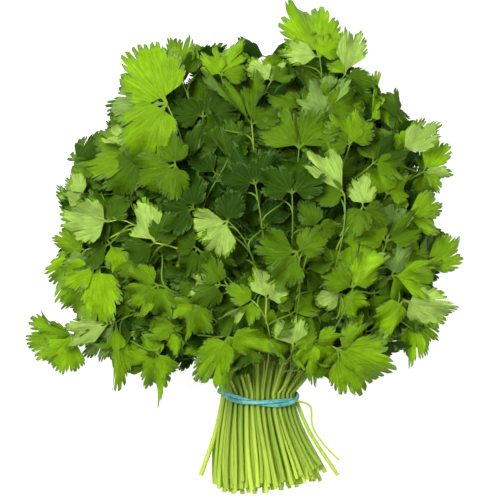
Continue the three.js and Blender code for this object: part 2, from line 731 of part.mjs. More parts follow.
// The lowest sprigs are laid in first and the ones on top last, but for a few that need
// more room than the last ones find.
const LAID_EARLY = [24, 25, 31, 26];
function height(i) {
  const { x, y, depth } = sprigs[i].leaves[0];
  return LAID_EARLY.includes(i + 1) ? 0 : sprigs[i].surface(x, y) - depth;
}
const order = sprigs.map((_, i) => i).sort((a, b) => height(a) - height(b));
order.forEach((i) => {
  const name = `sprig_${String(i + 1).padStart(2, '0')}`;
  const solid = layIn(sprigs[i], slotOf.get(sprigs[i]), i, name, laid);
  addPiece(name, geometryFrom(solid), COLOURS.leaf, ROUGHNESS.plant);
});

// The bunch is centred over the origin, with its lowest leaves on z = 0.
const bounds = new THREE.Box3().setFromObject(bunch);
const middle = bounds.getCenter(new THREE.Vector3());
bunch.position.set(-middle.x, -middle.y, -bounds.min.z);

export default bunch;
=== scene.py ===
# %% [markdown]
# # A bunch of coriander
#
# The bunch lies on a table, tied at the neck with a rubber band, and is looked at from above.
# It has three kinds of thing in it: stems, leaves and the band. Stems and leaves repeat by the
# hundred, each a little different, so both are grown by Geometry Nodes from short lists of
# where they are and how they hang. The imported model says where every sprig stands, and the
# looks are built round it.

import json
import math
import random

import bpy
import numpy as np
from mathutils import Matrix, Vector
from mathutils.geometry import delaunay_2d_cdt

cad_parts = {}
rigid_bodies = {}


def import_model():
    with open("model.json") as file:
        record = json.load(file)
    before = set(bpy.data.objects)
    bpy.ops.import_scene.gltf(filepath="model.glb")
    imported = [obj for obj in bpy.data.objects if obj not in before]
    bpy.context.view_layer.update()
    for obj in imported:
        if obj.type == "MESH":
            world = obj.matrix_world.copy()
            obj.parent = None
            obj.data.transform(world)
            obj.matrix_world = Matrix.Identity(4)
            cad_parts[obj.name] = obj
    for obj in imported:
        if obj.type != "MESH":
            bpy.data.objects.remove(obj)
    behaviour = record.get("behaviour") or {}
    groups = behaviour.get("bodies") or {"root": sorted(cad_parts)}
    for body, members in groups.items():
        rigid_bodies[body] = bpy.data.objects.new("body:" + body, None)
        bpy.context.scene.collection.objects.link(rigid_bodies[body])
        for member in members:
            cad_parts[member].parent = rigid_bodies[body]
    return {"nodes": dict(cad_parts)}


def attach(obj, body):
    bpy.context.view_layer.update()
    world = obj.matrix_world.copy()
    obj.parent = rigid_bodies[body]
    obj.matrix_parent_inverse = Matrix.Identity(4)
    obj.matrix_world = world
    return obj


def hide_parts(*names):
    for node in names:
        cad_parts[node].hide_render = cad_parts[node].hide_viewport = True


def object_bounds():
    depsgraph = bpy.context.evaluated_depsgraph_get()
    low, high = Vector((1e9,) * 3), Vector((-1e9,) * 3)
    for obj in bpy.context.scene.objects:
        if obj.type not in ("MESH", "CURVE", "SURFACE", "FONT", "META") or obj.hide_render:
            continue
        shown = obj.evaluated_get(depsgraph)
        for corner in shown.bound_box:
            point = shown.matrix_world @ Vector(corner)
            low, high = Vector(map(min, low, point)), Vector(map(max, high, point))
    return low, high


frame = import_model()
cad_low, cad_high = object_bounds()

MM = 0.001
SPRIGS = sorted(name for name in frame["nodes"] if name.startswith("sprig_"))
print("frame:", len(frame["nodes"]), "nodes,", len(SPRIGS), "of them sprigs")


def clamp(value, low, high):
    return max(low, min(high, value))


def mix(a, b, share):
    return a + (b - a) * share


def carry(mesh, name, values, kind="FLOAT", domain="POINT"):
    """Gives a mesh a named value for each of its points, edges or faces."""
    field = mesh.attributes.new(name, kind, domain)
    field.data.foreach_set("vector" if kind == "FLOAT_VECTOR" else "value", values)


def stand_for(piece, node):
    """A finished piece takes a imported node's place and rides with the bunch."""
    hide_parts(node)
    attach(piece, "root")


# %% [markdown]
# ## Reading the sprigs
#
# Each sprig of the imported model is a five-sided stem with thin plates for its leaflets. Where
# a finer leaf goes can be read from the plate: its rim has short edges as long as the plate is
# thick, and they stand in pairs to both sides of the leaflet's middle line. From the tip and
# two such pairs come the leaflet's length, width, direction and face. Reading it this way keeps
# every leaf where the model has it, and nothing is measured twice.

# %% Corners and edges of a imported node
PLATE_THICKNESS = 0.8 * MM
# Two places closer than this are the same one, in metres.
NEAR = 4e-6


def welded(node):
    """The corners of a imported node, each once, and its edges as pairs of them."""
    mesh = frame["nodes"][node].data
    corners = np.empty(len(mesh.vertices) * 3)
    mesh.vertices.foreach_get("co", corners)
    spots, place = np.unique(np.round(corners.reshape(-1, 3), 6), axis=0, return_inverse=True)
    ends = np.empty(len(mesh.edges) * 2, int)
    mesh.edges.foreach_get("vertices", ends)
    ends = np.sort(place.ravel()[ends].reshape(-1, 2), axis=1)
    return spots, np.unique(ends[ends[:, 0] != ends[:, 1]], axis=0)


# %% Leaflets of a sprig
# Where along a leaflet its plate is widest and half as wide, as shares of its length.
WIDEST = 0.62
HALF_AS_WIDE = 0.78
LONGEST_PLATE = 50 * MM
SAME_FACE = 0.99999
SAME_HUB = 1.5 * MM
# Two pairs of a plate are further apart than this, and fit a leaflet this closely.
LEAST_STEP = 0.1 * MM
WIDTH_FIT = 0.02
PLACE_FIT = 0.01


def mirrored_pairs(tip, near):
    """Pairs of rim corners equally far from the tip: their middle and how far apart they are."""
    far = np.linalg.norm(near - tip, axis=1)
    pairs = []
    for a in range(len(near)):
        for b in range(a + 1, len(near)):
            if far[a] > NEAR and abs(far[a] - far[b]) < NEAR:
                pairs.append(((near[a] + near[b]) / 2, np.linalg.norm(near[a] - near[b])))
    return pairs


def leaflet_at(tip, face, pairs):
    """The leaflet that ends in this tip, or None where the corner isn't a tip."""
    wanted = (1 - HALF_AS_WIDE) / (HALF_AS_WIDE - WIDEST)
    for half_middle, half_width in pairs:
        for middle, width in pairs:
            step = np.linalg.norm(half_middle - middle)
            twice_as_wide = step > LEAST_STEP and abs(width / half_width - 2) < WIDTH_FIT
            if not twice_as_wide:
                continue
            if abs(np.linalg.norm(tip - half_middle) / step - wanted) > PLACE_FIT:
                continue
            to_tip = np.linalg.norm(tip - middle)
            length = to_tip / (1 - WIDEST)
            tipward = (tip - middle) / to_tip
            straight = np.linalg.norm(np.cross(tipward, tip - half_middle)) < 10 * NEAR
            if straight:
                return {"hub": Vector(tip - tipward * length), "tipward": Vector(tipward),
                        "face": Vector(face), "length": length, "width": width}
    return None


def leaflets_of(spots, edges):
    """Every leaflet of a sprig: its hub, direction, face, length and width."""
    run = spots[edges[:, 1]] - spots[edges[:, 0]]
    size = np.linalg.norm(run, axis=1)
    rim = np.abs(size - PLATE_THICKNESS) < NEAR
    middles = spots[edges[rim]].mean(axis=1)
    faces = run[rim] / size[rim, None]
    faces *= np.sign(faces[:, 2:3])
    found = []
    for tip, face in zip(middles, faces):
        close = np.linalg.norm(middles - tip, axis=1) < LONGEST_PLATE
        same_plate = middles[(faces @ face > SAME_FACE) & close]
        leaflet = leaflet_at(tip, face, mirrored_pairs(tip, same_plate))
        if leaflet:
            found.append(leaflet)
    return found


def compound_leaves(leaflets):
    """Leaflets that share a hub, as lists."""
    leaves = []
    for leaflet in leaflets:
        for leaf in leaves:
            if (leaf[0]["hub"] - leaflet["hub"]).length < SAME_HUB:
                leaf.append(leaflet)
                break
        else:
            leaves.append([leaflet])
    return leaves


# %% Stems of a sprig
STEM_SIDES = 5


def tube_rings(spots, edges):
    """Ring centres of a packed tube, from its lowest end on, up to where something joins it."""
    neighbours = {}
    for a, b in edges:
        neighbours.setdefault(a, set()).add(b)
        neighbours.setdefault(b, set()).add(a)
    ring = set(np.argsort(spots[:, 1])[:STEM_SIDES])
    seen = set(ring)
    centres = []
    while len(ring) == STEM_SIDES:
        centres.append(Vector(spots[list(ring)].mean(axis=0)))
        seen |= ring
        ring = set().union(*(neighbours[corner] for corner in ring)) - seen
    return centres


def cubic(points, t):
    """A point on the smooth curve that four points steer."""
    a, b, c, d = points
    s = 1 - t
    return a * s ** 3 + b * (3 * s * s * t) + c * (3 * s * t * t) + d * t ** 3


def cubic_slope(points, t):
    """The direction of that curve there."""
    a, b, c, d = points
    s = 1 - t
    slope = (b - a) * (3 * s * s) + (c - b) * (6 * s * t) + (d - c) * (3 * t * t)
    return slope.normalized()


# How far a curve is steered at its start and at its end, as shares of its reach.
STALK_EARLY = 0.35
SMALL_STALK_EARLY = 0.4
MIDDLE_EARLY = 0.3
LATE = 0.3


def steered(start, leaving, hub, arrival, early):
    """A curve from a stem to a hub that sets out in one direction and arrives in another."""
    span = (hub - start).length
    return [start, start + leaving * early * span, hub - arrival * LATE * span, hub]


# A packed stem has two steps up to the band and six from there to its first leaf. The side
# stalk joins it before the last of them.
BAND_RING = 2
STEPS_ABOVE = 6
RINGS_BEFORE_STALK = 7
STEERED_BELOW_BAND = 0.4
STRAIGHT_AT_BAND = 15 * MM
SIDE_STALK_LEAVES_AT = 0.7333


def below_band(end, band):
    """The curve from a cut end to the band, which it meets straight on."""
    low = end.lerp(band, STEERED_BELOW_BAND)
    return [end, low, band - Vector((0, STRAIGHT_AT_BAND, 0)), band]


def above_band(rings, hub):
    """The curve from the band to the hub through the rings in between, and how well it fits."""
    start, *passed = rings[BAND_RING:RINGS_BEFORE_STALK]
    known = [(k / STEPS_ABOVE, ring) for k, ring in enumerate(passed, 1)]
    shares = np.array([[3 * (1 - t) ** 2 * t, 3 * (1 - t) * t * t] for t, _ in known])
    rest = np.array([ring - start * (1 - t) ** 3 - hub * t ** 3 for t, ring in known])
    steering, *_ = np.linalg.lstsq(shares, rest, rcond=None)
    miss = np.abs(shares @ steering - rest).max()
    return [start, Vector(steering[0]), Vector(steering[1]), hub], miss


def side_stalk(main, hub):
    """The stalk of a sprig's second leaf, which leaves the stem most of the way up."""
    start = cubic(main, SIDE_STALK_LEAVES_AT)
    along = cubic_slope(main, SIDE_STALK_LEAVES_AT)
    return steered(start, along, hub, (hub - start).normalized(), STALK_EARLY)


# %% All sprigs as stems and leaves
def read_sprig(node):
    spots, edges = welded(node)
    rings = tube_rings(spots, edges)
    leaves = compound_leaves(leaflets_of(spots, edges))
    fits = [above_band(rings, leaf[0]["hub"]) for leaf in leaves]
    first = min(range(len(leaves)), key=lambda k: fits[k][1])
    above = fits[first][0]
    others = [leaf for k, leaf in enumerate(leaves) if k != first]
    return {
        "name": node,
        "below": below_band(rings[0], rings[BAND_RING]),
        "above": above,
        "leaves": [leaves[first], *others],
        "stalks": [side_stalk(above, leaf[0]["hub"]) for leaf in others],
    }


sprigs = [read_sprig(node) for node in SPRIGS]
main_leaflets = [leaflet for sprig in sprigs for leaf in sprig["leaves"] for leaflet in leaf]
print("read:", len(main_leaflets), "leaflets on", sum(len(s["leaves"]) for s in sprigs), "leaves")

# %% The neck
neck = np.array([sprig["below"][3] for sprig in sprigs])
neck_low, neck_high = neck.min(axis=0), neck.max(axis=0)
NECK_CENTRE = Vector((neck_low + neck_high) / 2)
NECK_HALF = Vector((neck_high - neck_low) / 2)
ends = np.array([sprig["below"][0] for sprig in sprigs])
END_CENTRE = Vector((ends.min(axis=0) + ends.max(axis=0)) / 2)
END_HALF = Vector((ends.max(axis=0) - ends.min(axis=0)) / 2)
print("neck:", [round(2 * v / MM) for v in (NECK_HALF.x, NECK_HALF.z)], "mm across")

# %% [markdown]
# ## How a leaf is drawn
#
# A coriander leaflet is a round fan on a thin stalk. Narrow slits cut its front into three
# lobes, shallower nicks part each lobe again, and every part has a few rounded teeth. An image
# of a leaf on a plane would give the outline, but it lies flat and has no thickness. Here the
# outline is worked out point by point and filled with triangles that are small enough to bend.
# Two skins share the rim, so the blade is thin but closed. Two dozen leaflets are drawn,
# each with its own cuts and waves, and every leaf on the bunch starts from one of them.

# %% The outline
# The blade starts this far out on the leaflet's length. Before it is the stalk.
BLADE_START = 0.07
STALK_HALF_WIDTH = 0.026
# How much lobes and their parts fall back towards their ends.
LOBE_ROUNDED = 0.12
PART_ROUNDED = 0.1
# Where a tooth has points, from the notch before it on.
TOOTH_POINTS = (0, 0.22, 0.5, 0.78)
# Where the blade's back corners lie before it is scaled to its size.
BACK_CORNER = (0.04, 0.05)
# Lobes, their parts, cuts and notches differ by these factors.
PART_SIZES = (0.8, 1.2)
LOBE_HEIGHTS = (0.95, 1.06)
PART_HEIGHTS = (0.96, 1.02)
CUT_DEPTHS = (0.6, 1.25)
NOTCH_DEPTHS = (0.7, 1.4)


def fan_outline(form, rng):
    """The whole outline, from the hub round the right side, the front and back on the left."""
    half = math.radians(form["half_angle"])
    sizes = [[rng.uniform(*PART_SIZES) for _ in range(parts)] for parts in form["parts"]]
    whole = sum(map(sum, sizes))
    rim = []

    def add(turn, out):
        reach = out * math.cos(turn) ** form["round"]
        rim.append((reach * math.cos(turn), reach * math.sin(turn)))

    start = -half
    for lobe in sizes:
        lobe_start = start
        lobe_width = 2 * half * sum(lobe) / whole
        tall = rng.uniform(*LOBE_HEIGHTS)
        for number, size in enumerate(lobe):
            if start > -half:
                depth = form["nick"] if number else form["slit"]
                add(start, 1 - depth * rng.uniform(*CUT_DEPTHS))
            width = 2 * half * size / whole
            part_tall = tall * rng.uniform(*PART_HEIGHTS)
            for tooth in range(form["teeth"]):
                for share in TOOTH_POINTS:
                    along = (tooth + share) / form["teeth"]
                    if not along:
                        continue
                    turn = start + along * width
                    off_part = abs(2 * along - 1)
                    off_lobe = abs(2 * (turn - lobe_start) / lobe_width - 1)
                    notch = 0 if share else form["tooth"] * rng.uniform(*NOTCH_DEPTHS)
                    add(turn, part_tall * (1 - notch - PART_ROUNDED * off_part ** 3
                                           - LOBE_ROUNDED * off_lobe ** 3))
            start += width
    back, side = BACK_CORNER
    fan = [(back, -side), *rim, (back, side)]
    far = max(x for x, _ in fan)
    wide = max(abs(y) for _, y in fan)
    fan = [(mix(BLADE_START, 1, x / far), 0.5 * y / wide) for x, y in fan]
    stalk = [(x, -STALK_HALF_WIDTH) for x in (0, BLADE_START / 2, BLADE_START)]
    return [*stalk, *fan, *[(x, -y) for x, y in reversed(stalk)]]


# %% Points inside the outline
STALK_POINTS = (0.02, 0.055, 0.09, 0.14)
GRID_STARTS = 0.13
GRID_COLUMNS = 7
CLEAR_OF_RIM = 0.36
# Rows of a triangular packing are this much closer than the places in a row.
ROW_STEP = 0.87


def inside(point, outline):
    """Whether a point is in the outline, and how far it is from its rim."""
    ring = np.array(outline)
    ahead = np.roll(ring, -1, axis=0)
    crossing = (ring[:, 1] > point[1]) != (ahead[:, 1] > point[1])
    step = np.where(ahead[:, 1] == ring[:, 1], 1e-12, ahead[:, 1] - ring[:, 1])
    at = ring[:, 0] + (point[1] - ring[:, 1]) * (ahead[:, 0] - ring[:, 0]) / step
    within = (crossing & (point[0] < at)).sum() % 2 == 1
    run = ahead - ring
    share = ((point - ring) * run).sum(axis=1) / np.maximum((run ** 2).sum(axis=1), 1e-12)
    foot = ring + run * np.clip(share, 0, 1)[:, None]
    return within, np.linalg.norm(foot - point, axis=1).min()


def inner_points(outline, pitch):
    """A triangular grid of points inside the outline, and a row along the stalk."""
    points = [(x, 0.0) for x in STALK_POINTS]
    row = 0
    x = BLADE_START + GRID_STARTS
    while x < 1:
        shift = 0.5 * pitch * (row % 2)
        for column in range(-GRID_COLUMNS, GRID_COLUMNS + 1):
            spot = np.array((x, column * pitch + shift))
            within, off = inside(spot, outline)
            if within and off > CLEAR_OF_RIM * pitch:
                points.append(tuple(spot))
        x += ROW_STEP * pitch
        row += 1
    return points


# %% A leaflet as a closed thin mesh
RIM_DROP = 0.1
PUCKER = 0.012
PUCKERS_ALONG = 23
PUCKERS_ACROSS = 19
# How many folds and rim waves a blade has for each radian of its fan, and where they begin.
FOLDS = (2.6, 4.6)
RIM_WAVES = (5, 8)
BEGINS = (0, 6.3)
# Near its middle line a leaflet is thickest at the hub, and thins to its plain thickness.
NEAR_MIDDLE = 0.03
THICKEST = 3
THICK_AT_HUB = 3.4
THINS_BY = 9


def relief(x, y, form, waves):
    """How far the blade rises off its plane, as a share of the leaflet's length."""
    out = math.hypot(x - BLADE_START, y)
    angle = math.atan2(y, x - BLADE_START)
    lobes = math.cos(angle * waves["folds"] + waves["fold_phase"])
    rim = math.sin(angle * waves["rim"] + waves["rim_phase"])
    puckers = math.sin(PUCKERS_ALONG * x + waves["rim_phase"]) * math.sin(PUCKERS_ACROSS * y)
    return (form["cup"] * out * out * lobes + (form["ruffle"] * rim - RIM_DROP) * out ** 3
            + PUCKER * puckers)


def thickness(x, y):
    """How many times its plain thickness the blade has at a place."""
    return clamp(THICK_AT_HUB - THINS_BY * x, 1, THICKEST) if abs(y) < NEAR_MIDDLE else 1


def draw_leaflet(name, form, seed):
    """One leaflet: x along it from hub to tip, y across it, in shares of its length and width."""
    rng = random.Random(seed)
    outline = fan_outline(form, rng)
    waves = {"folds": rng.uniform(*FOLDS), "rim": rng.uniform(*RIM_WAVES),
             "fold_phase": rng.uniform(*BEGINS), "rim_phase": rng.uniform(*BEGINS)}
    points = [*outline, *inner_points(outline, form["pitch"])]
    around = len(outline)
    ring = [(k, (k + 1) % around) for k in range(around)]
    spots, _, faces, origins, *_ = delaunay_2d_cdt([Vector(p) for p in points], ring, [], 1, 1e-5)
    on_rim = [any(o < around for o in origin) for origin in origins]
    below = {}
    vertices = [(p.x, p.y, 0) for p in spots]
    skins = [0.0 if rim else 1.0 for rim in on_rim]
    for k, rim in enumerate(on_rim):
        below[k] = k
        if not rim:
            below[k] = len(vertices)
            vertices.append((spots[k].x, spots[k].y, 0))
            skins.append(-1.0)
    bottom = [[below[k] for k in reversed(face)] for face in faces]
    mesh = bpy.data.meshes.new(name)
    mesh.from_pydata(vertices, [], [*faces, *bottom])
    sheet = [v for x, y, _ in vertices for v in (x, y, relief(x, y, form, waves))]
    half_thick = [side * thickness(x, y) for side, (x, y, _) in zip(skins, vertices)]
    rim_corners = {k for k, rim in enumerate(on_rim) if rim}
    sharp = [rim_corners.issuperset(edge.vertices) for edge in mesh.edges]
    carry(mesh, "sheet", sheet, "FLOAT_VECTOR")
    carry(mesh, "skin", half_thick)
    carry(mesh, "underside", [0.0] * len(faces) + [1.0] * len(bottom), domain="FACE")
    mesh.shade_smooth()
    carry(mesh, "sharp_edge", sharp, "BOOLEAN", "EDGE")
    return mesh


# %% Two dozen leaflets
# Each form's fan, its cuts, how its blade waves and how far apart its inner points are.
FORMS = {
    "fan": {"half_angle": 66, "round": 0.35, "parts": (2, 2, 2), "teeth": 3, "slit": 0.42,
            "nick": 0.26, "tooth": 0.115, "cup": 0.17, "ruffle": 0.2, "pitch": 0.105},
    "cut": {"half_angle": 60, "round": 0.3, "parts": (1, 2, 1), "teeth": 4, "slit": 0.58,
            "nick": 0.28, "tooth": 0.12, "cup": 0.17, "ruffle": 0.22, "pitch": 0.105},
    "broad": {"half_angle": 82, "round": 0.45, "parts": (2, 3, 2), "teeth": 3, "slit": 0.4,
              "nick": 0.26, "tooth": 0.115, "cup": 0.15, "ruffle": 0.22, "pitch": 0.105},
    "small": {"half_angle": 70, "round": 0.4, "parts": (1, 2, 1), "teeth": 4, "slit": 0.4,
              "nick": 0.22, "tooth": 0.11, "cup": 0.18, "ruffle": 0.18, "pitch": 0.15},
}
PER_FORM = 6

shape_shelf = bpy.data.collections.new("leaf_shapes")
SHAPE_OF = {}
for form_number, (form_name, form) in enumerate(FORMS.items()):
    SHAPE_OF[form_name] = []
    for k in range(PER_FORM):
        shape_name = f"leaf_shape_{form_number}_{k}"
        leaf_mesh = draw_leaflet(shape_name, form, seed=100 * form_number + k)
        shape_shelf.objects.link(bpy.data.objects.new(shape_name, leaf_mesh))
        SHAPE_OF[form_name].append(form_number * PER_FORM + k)
triangles = [sum(len(p.vertices) - 2 for p in o.data.polygons) for o in shape_shelf.objects]
print("leaf shapes:", len(triangles), "with", min(triangles), "to", max(triangles), "triangles")

# %% [markdown]
# ## Growing leaves on the bunch
#
# Every leaflet hangs differently: some arch over, some fold along the middle, some twist. One
# could bend copies by hand, but there are hundreds. So each leaflet is a point that knows its
# hub, its directions and how it hangs, and a node tree puts a drawn leaflet on each point and
# bends it. The blade follows an arc from its hub, turns about it, and folds up or down from
# its middle line. A formula in nodes is long to wire, so a small helper adds them one by one.

# %% A helper that wires nodes
class Wiring:
    """Adds nodes to a tree and joins them, so that a formula can be read as one."""

    def __init__(self, tree):
        self.tree = tree

    def node(self, kind, *values, **settings):
        added = self.tree.nodes.new(kind)
        for setting, value in settings.items():
            setattr(added, setting, value)
        for socket, value in zip(added.inputs, values):
            self.plug(socket, value)
        return added

    def plug(self, socket, value):
        if isinstance(value, bpy.types.NodeSocket):
            self.tree.links.new(value, socket)
        elif value is not None:
            socket.default_value = value

    def named(self, kind, **values):
        """A node whose inputs are set or joined by name."""
        added = self.node(kind)
        for name, value in values.items():
            self.plug(added.inputs[name.replace("_", " ")], value)
        return added

    def math(self, operation, *values):
        return self.node("ShaderNodeMath", *values, operation=operation).outputs[0]

    def vector(self, operation, *values):
        return self.node("ShaderNodeVectorMath", *values, operation=operation).outputs[0]

    def scaled(self, vector, factor):
        added = self.node("ShaderNodeVectorMath", vector, operation="SCALE")
        self.plug(added.inputs["Scale"], factor)
        return added.outputs[0]

    def parts(self, vector):
        """The three parts of a vector."""
        return self.node("ShaderNodeSeparateXYZ", vector).outputs

    def along(self, *terms):
        """The sum of vectors, each times its factor."""
        total = None
        for vector, factor in terms:
            term = self.scaled(vector, factor)
            total = term if total is None else self.vector("ADD", total, term)
        return total

    def attribute(self, name, kind="FLOAT"):
        found = self.node("GeometryNodeInputNamedAttribute", name, data_type=kind)
        return found.outputs["Attribute"]


def new_tree(name, kind, inputs, outputs):
    """An empty node group with its named inputs and outputs."""
    tree = bpy.data.node_groups.new(name, kind)
    for direction, sockets in (("INPUT", inputs), ("OUTPUT", outputs)):
        for label, socket_type in sockets:
            tree.interface.new_socket(label, in_out=direction, socket_type=socket_type)
    start = tree.nodes.new("NodeGroupInput")
    end = tree.nodes.new("NodeGroupOutput")
    return tree, Wiring(tree), start.outputs, end.inputs


# %% The tree that hangs leaflets
def leaf_tree():
    tree, w, given, result = new_tree("hang_leaflets", "GeometryNodeTree", [
        ("Leaflet points", "NodeSocketGeometry"),
        ("Leaf shapes", "NodeSocketCollection"),
        ("Blade thickness", "NodeSocketFloat"),
        ("Leaf material", "NodeSocketMaterial"),
    ], [("Leaves", "NodeSocketGeometry")])

    shapes = w.node("GeometryNodeCollectionInfo", given["Leaf shapes"], True, True)
    placed = w.node("GeometryNodeInstanceOnPoints", given["Leaflet points"], None,
                    shapes.outputs[0], True, w.attribute("shape", "INT"))
    real = w.node("GeometryNodeRealizeInstances", placed.outputs[0])

    sheet = w.parts(w.attribute("sheet", "FLOAT_VECTOR"))
    hub, tipward, across, face = (
        w.attribute(name, "FLOAT_VECTOR") for name in ("hub", "tipward", "across", "face"))
    length, width, bend, fold, twist, ruffle = (
        w.attribute(name) for name in ("length", "width", "bend", "fold", "twist", "ruffle"))

    arc = w.math("MULTIPLY", bend, sheet["X"])
    radius = w.math("DIVIDE", length, bend)
    out = w.math("MULTIPLY", radius, w.math("SINE", arc))
    drop = w.math("MULTIPLY", radius, w.math("SUBTRACT", w.math("COSINE", arc), 1))
    upright = w.along((face, w.math("COSINE", arc)), (tipward, w.math("SINE", arc)))

    turn = w.math("MULTIPLY", twist, sheet["X"])
    back = w.math("MULTIPLY", w.math("SINE", turn), -1)
    sideways = w.along((across, w.math("COSINE", turn)), (upright, w.math("SINE", turn)))
    upward = w.along((upright, w.math("COSINE", turn)), (across, back))

    wide = w.math("MULTIPLY", sheet["Y"], width)
    folded = w.math("MULTIPLY", w.math("ABSOLUTE", wide), w.math("SINE", fold))
    waves = w.math("MULTIPLY", w.math("MULTIPLY", sheet["Z"], length), ruffle)
    half = w.math("MULTIPLY", given["Blade thickness"], 0.5)
    skin = w.math("MULTIPLY", w.attribute("skin"), half)
    rise = w.math("ADD", w.math("ADD", folded, waves), skin)

    place = w.along((tipward, out), (face, drop), (upward, rise),
                    (sideways, w.math("MULTIPLY", wide, w.math("COSINE", fold))))
    spot = w.vector("ADD", hub, place)
    bent = w.node("GeometryNodeSetPosition", real.outputs[0], None, spot)
    coloured = w.node("GeometryNodeSetMaterial", bent.outputs[0], None, given["Leaf material"])
    tree.links.new(coloured.outputs[0], result["Leaves"])
    return tree


# %% The tree that draws stems
def stem_tree():
    tree, w, given, result = new_tree("draw_stems", "GeometryNodeTree", [
        ("Stem lines", "NodeSocketGeometry"),
        ("Ribs", "NodeSocketInt"),
        ("Rib depth", "NodeSocketFloat"),
        ("Stem material", "NodeSocketMaterial"),
    ], [("Stems", "NodeSocketGeometry")])

    lines = w.node("GeometryNodeMeshToCurve", given["Stem lines"])
    girth = w.node("GeometryNodeSetCurveRadius", lines.outputs[0], None, w.attribute("girth"))
    corners = w.math("MULTIPLY", given["Ribs"], 2)
    section = w.node("GeometryNodeCurvePrimitiveCircle", corners)
    section.inputs["Radius"].default_value = 1
    corner = w.node("GeometryNodeInputIndex").outputs[0]
    ridge = w.math("MULTIPLY", w.math("MODULO", corner, 2), given["Rib depth"])
    spot = w.node("GeometryNodeInputPosition").outputs[0]
    ribbed = w.node("GeometryNodeSetPosition", section.outputs[0], None,
                    w.scaled(spot, w.math("SUBTRACT", 1, ridge)))
    skin = w.node("GeometryNodeCurveToMesh", girth.outputs[0], ribbed.outputs[0])
    skin.inputs["Fill Caps"].default_value = True
    w.plug(skin.inputs["Scale"], w.attribute("girth"))
    real = w.node("GeometryNodeRealizeInstances", skin.outputs[0])
    coloured = w.node("GeometryNodeSetMaterial", real.outputs[0], None, given["Stem material"])
    tree.links.new(coloured.outputs[0], result["Stems"])
    return tree


# %% Running a tree
def grown(name, layout, tree, **inputs):
    """What a tree makes of a layout mesh, as a plain object with no modifier."""
    holder = bpy.data.objects.new(name + "_layout", layout)
    bpy.context.scene.collection.objects.link(holder)
    growth = holder.modifiers.new("growth", "NODES")
    growth.node_group = tree
    sockets = {item.name.replace(" ", "_"): item.identifier for item in tree.interface.items_tree
               if item.in_out == "INPUT"}
    for label, value in inputs.items():
        growth[sockets[label]] = value
    graph = bpy.context.evaluated_depsgraph_get()
    mesh = bpy.data.meshes.new_from_object(holder.evaluated_get(graph))
    bpy.data.objects.remove(holder)
    bpy.data.meshes.remove(layout)
    mesh.name = name
    piece = bpy.data.objects.new(name, mesh)
    bpy.context.scene.collection.objects.link(piece)
    return piece


HANG_LEAFLETS = leaf_tree()
DRAW_STEMS = stem_tree()
print("trees:", len(HANG_LEAFLETS.nodes), "and", len(DRAW_STEMS.nodes), "nodes")

# %% [markdown]
# ## Greens
#
# A leaf has two faces. The upper one is deep green with a soft sheen, the lower one is paler
# and matt. Both let some light through, which is what makes thin leaves glow. One material
# does this for every leaf: each leaf carries its tone, partly its own and partly painted shade
# and painted light from where it lies in the crown, and tells which face is up, and fine veins
# fan out from the stalk. Streaks that fan out darken and lighten the green as partly vein colour
# and partly painted shade of the ribbing. The vein pattern and the mottling are node groups, so
# the stems and the band can use the same mottling with values of their own.

# %% Colour helpers
def linear(red, green, blue):
    """A display colour, 0 to 255, as the linear colour that shaders use."""
    def one(value):
        share = value / 255
        return share / 12.92 if share <= 0.04045 else ((share + 0.055) / 1.055) ** 2.4
    return (one(red), one(green), one(blue), 1)


def blend(w, factor, first, second, kind="MIX"):
    """Mixes two colours."""
    mixer = w.node("ShaderNodeMix", data_type="RGBA", blend_type=kind)
    w.plug(mixer.inputs[0], factor)
    w.plug(mixer.inputs[6], first)
    w.plug(mixer.inputs[7], second)
    return mixer.outputs[2]


def between(w, value, low, high, to_low=0.0, to_high=1.0):
    """A smooth step from low to high."""
    step = w.node("ShaderNodeMapRange", value, low, high, to_low, to_high,
                  interpolation_type="SMOOTHSTEP")
    return step.outputs[0]


# %% Shared pattern: mottling
def mottle_group():
    tree, w, given, result = new_tree("mottle", "ShaderNodeTree", [
        ("Place", "NodeSocketVector"), ("Scale", "NodeSocketFloat"), ("Amount", "NodeSocketFloat"),
    ], [("Factor", "NodeSocketFloat")])
    noise = w.named("ShaderNodeTexNoise", Vector=given["Place"], Scale=given["Scale"], Detail=4)
    centred = w.math("SUBTRACT", noise.outputs[0], 0.5)
    tree.links.new(w.math("MULTIPLY_ADD", centred, given["Amount"], 1), result["Factor"])
    return tree


# %% Shared pattern: veins that fan out
# A leaflet is about this wide for its length.
USUAL_WIDTH = 0.8
FINE_SPACING = 0.25
FINE_WIDTH = 0.7


def vein_group():
    tree, w, given, result = new_tree("fan_veins", "ShaderNodeTree", [
        ("Sheet", "NodeSocketVector"), ("Main spacing", "NodeSocketFloat"),
        ("Width", "NodeSocketFloat"),
    ], [("Veins", "NodeSocketFloat")])
    at = w.parts(given["Sheet"])
    x = w.math("SUBTRACT", at[0], BLADE_START)
    y = w.math("MULTIPLY", at[1], USUAL_WIDTH)
    out = w.math("SQRT", w.math("ADD", w.math("MULTIPLY", x, x), w.math("MULTIPLY", y, y)))
    angle = w.math("ARCTAN2", y, x)

    def family(spacing, width):
        off = w.math("PINGPONG", w.math("ADD", angle, 20), w.math("MULTIPLY", spacing, 0.5))
        return between(w, w.math("MULTIPLY", off, out), 0.0, width, 1, 0)

    main = family(given["Main spacing"], given["Width"])
    fine = family(w.math("MULTIPLY", given["Main spacing"], FINE_SPACING),
                  w.math("MULTIPLY", given["Width"], FINE_WIDTH))
    shown = w.math("MULTIPLY", fine, between(w, out, 0.15, 0.45, 0, 0.6))
    tree.links.new(w.math("MAXIMUM", main, shown), result["Veins"])
    return tree
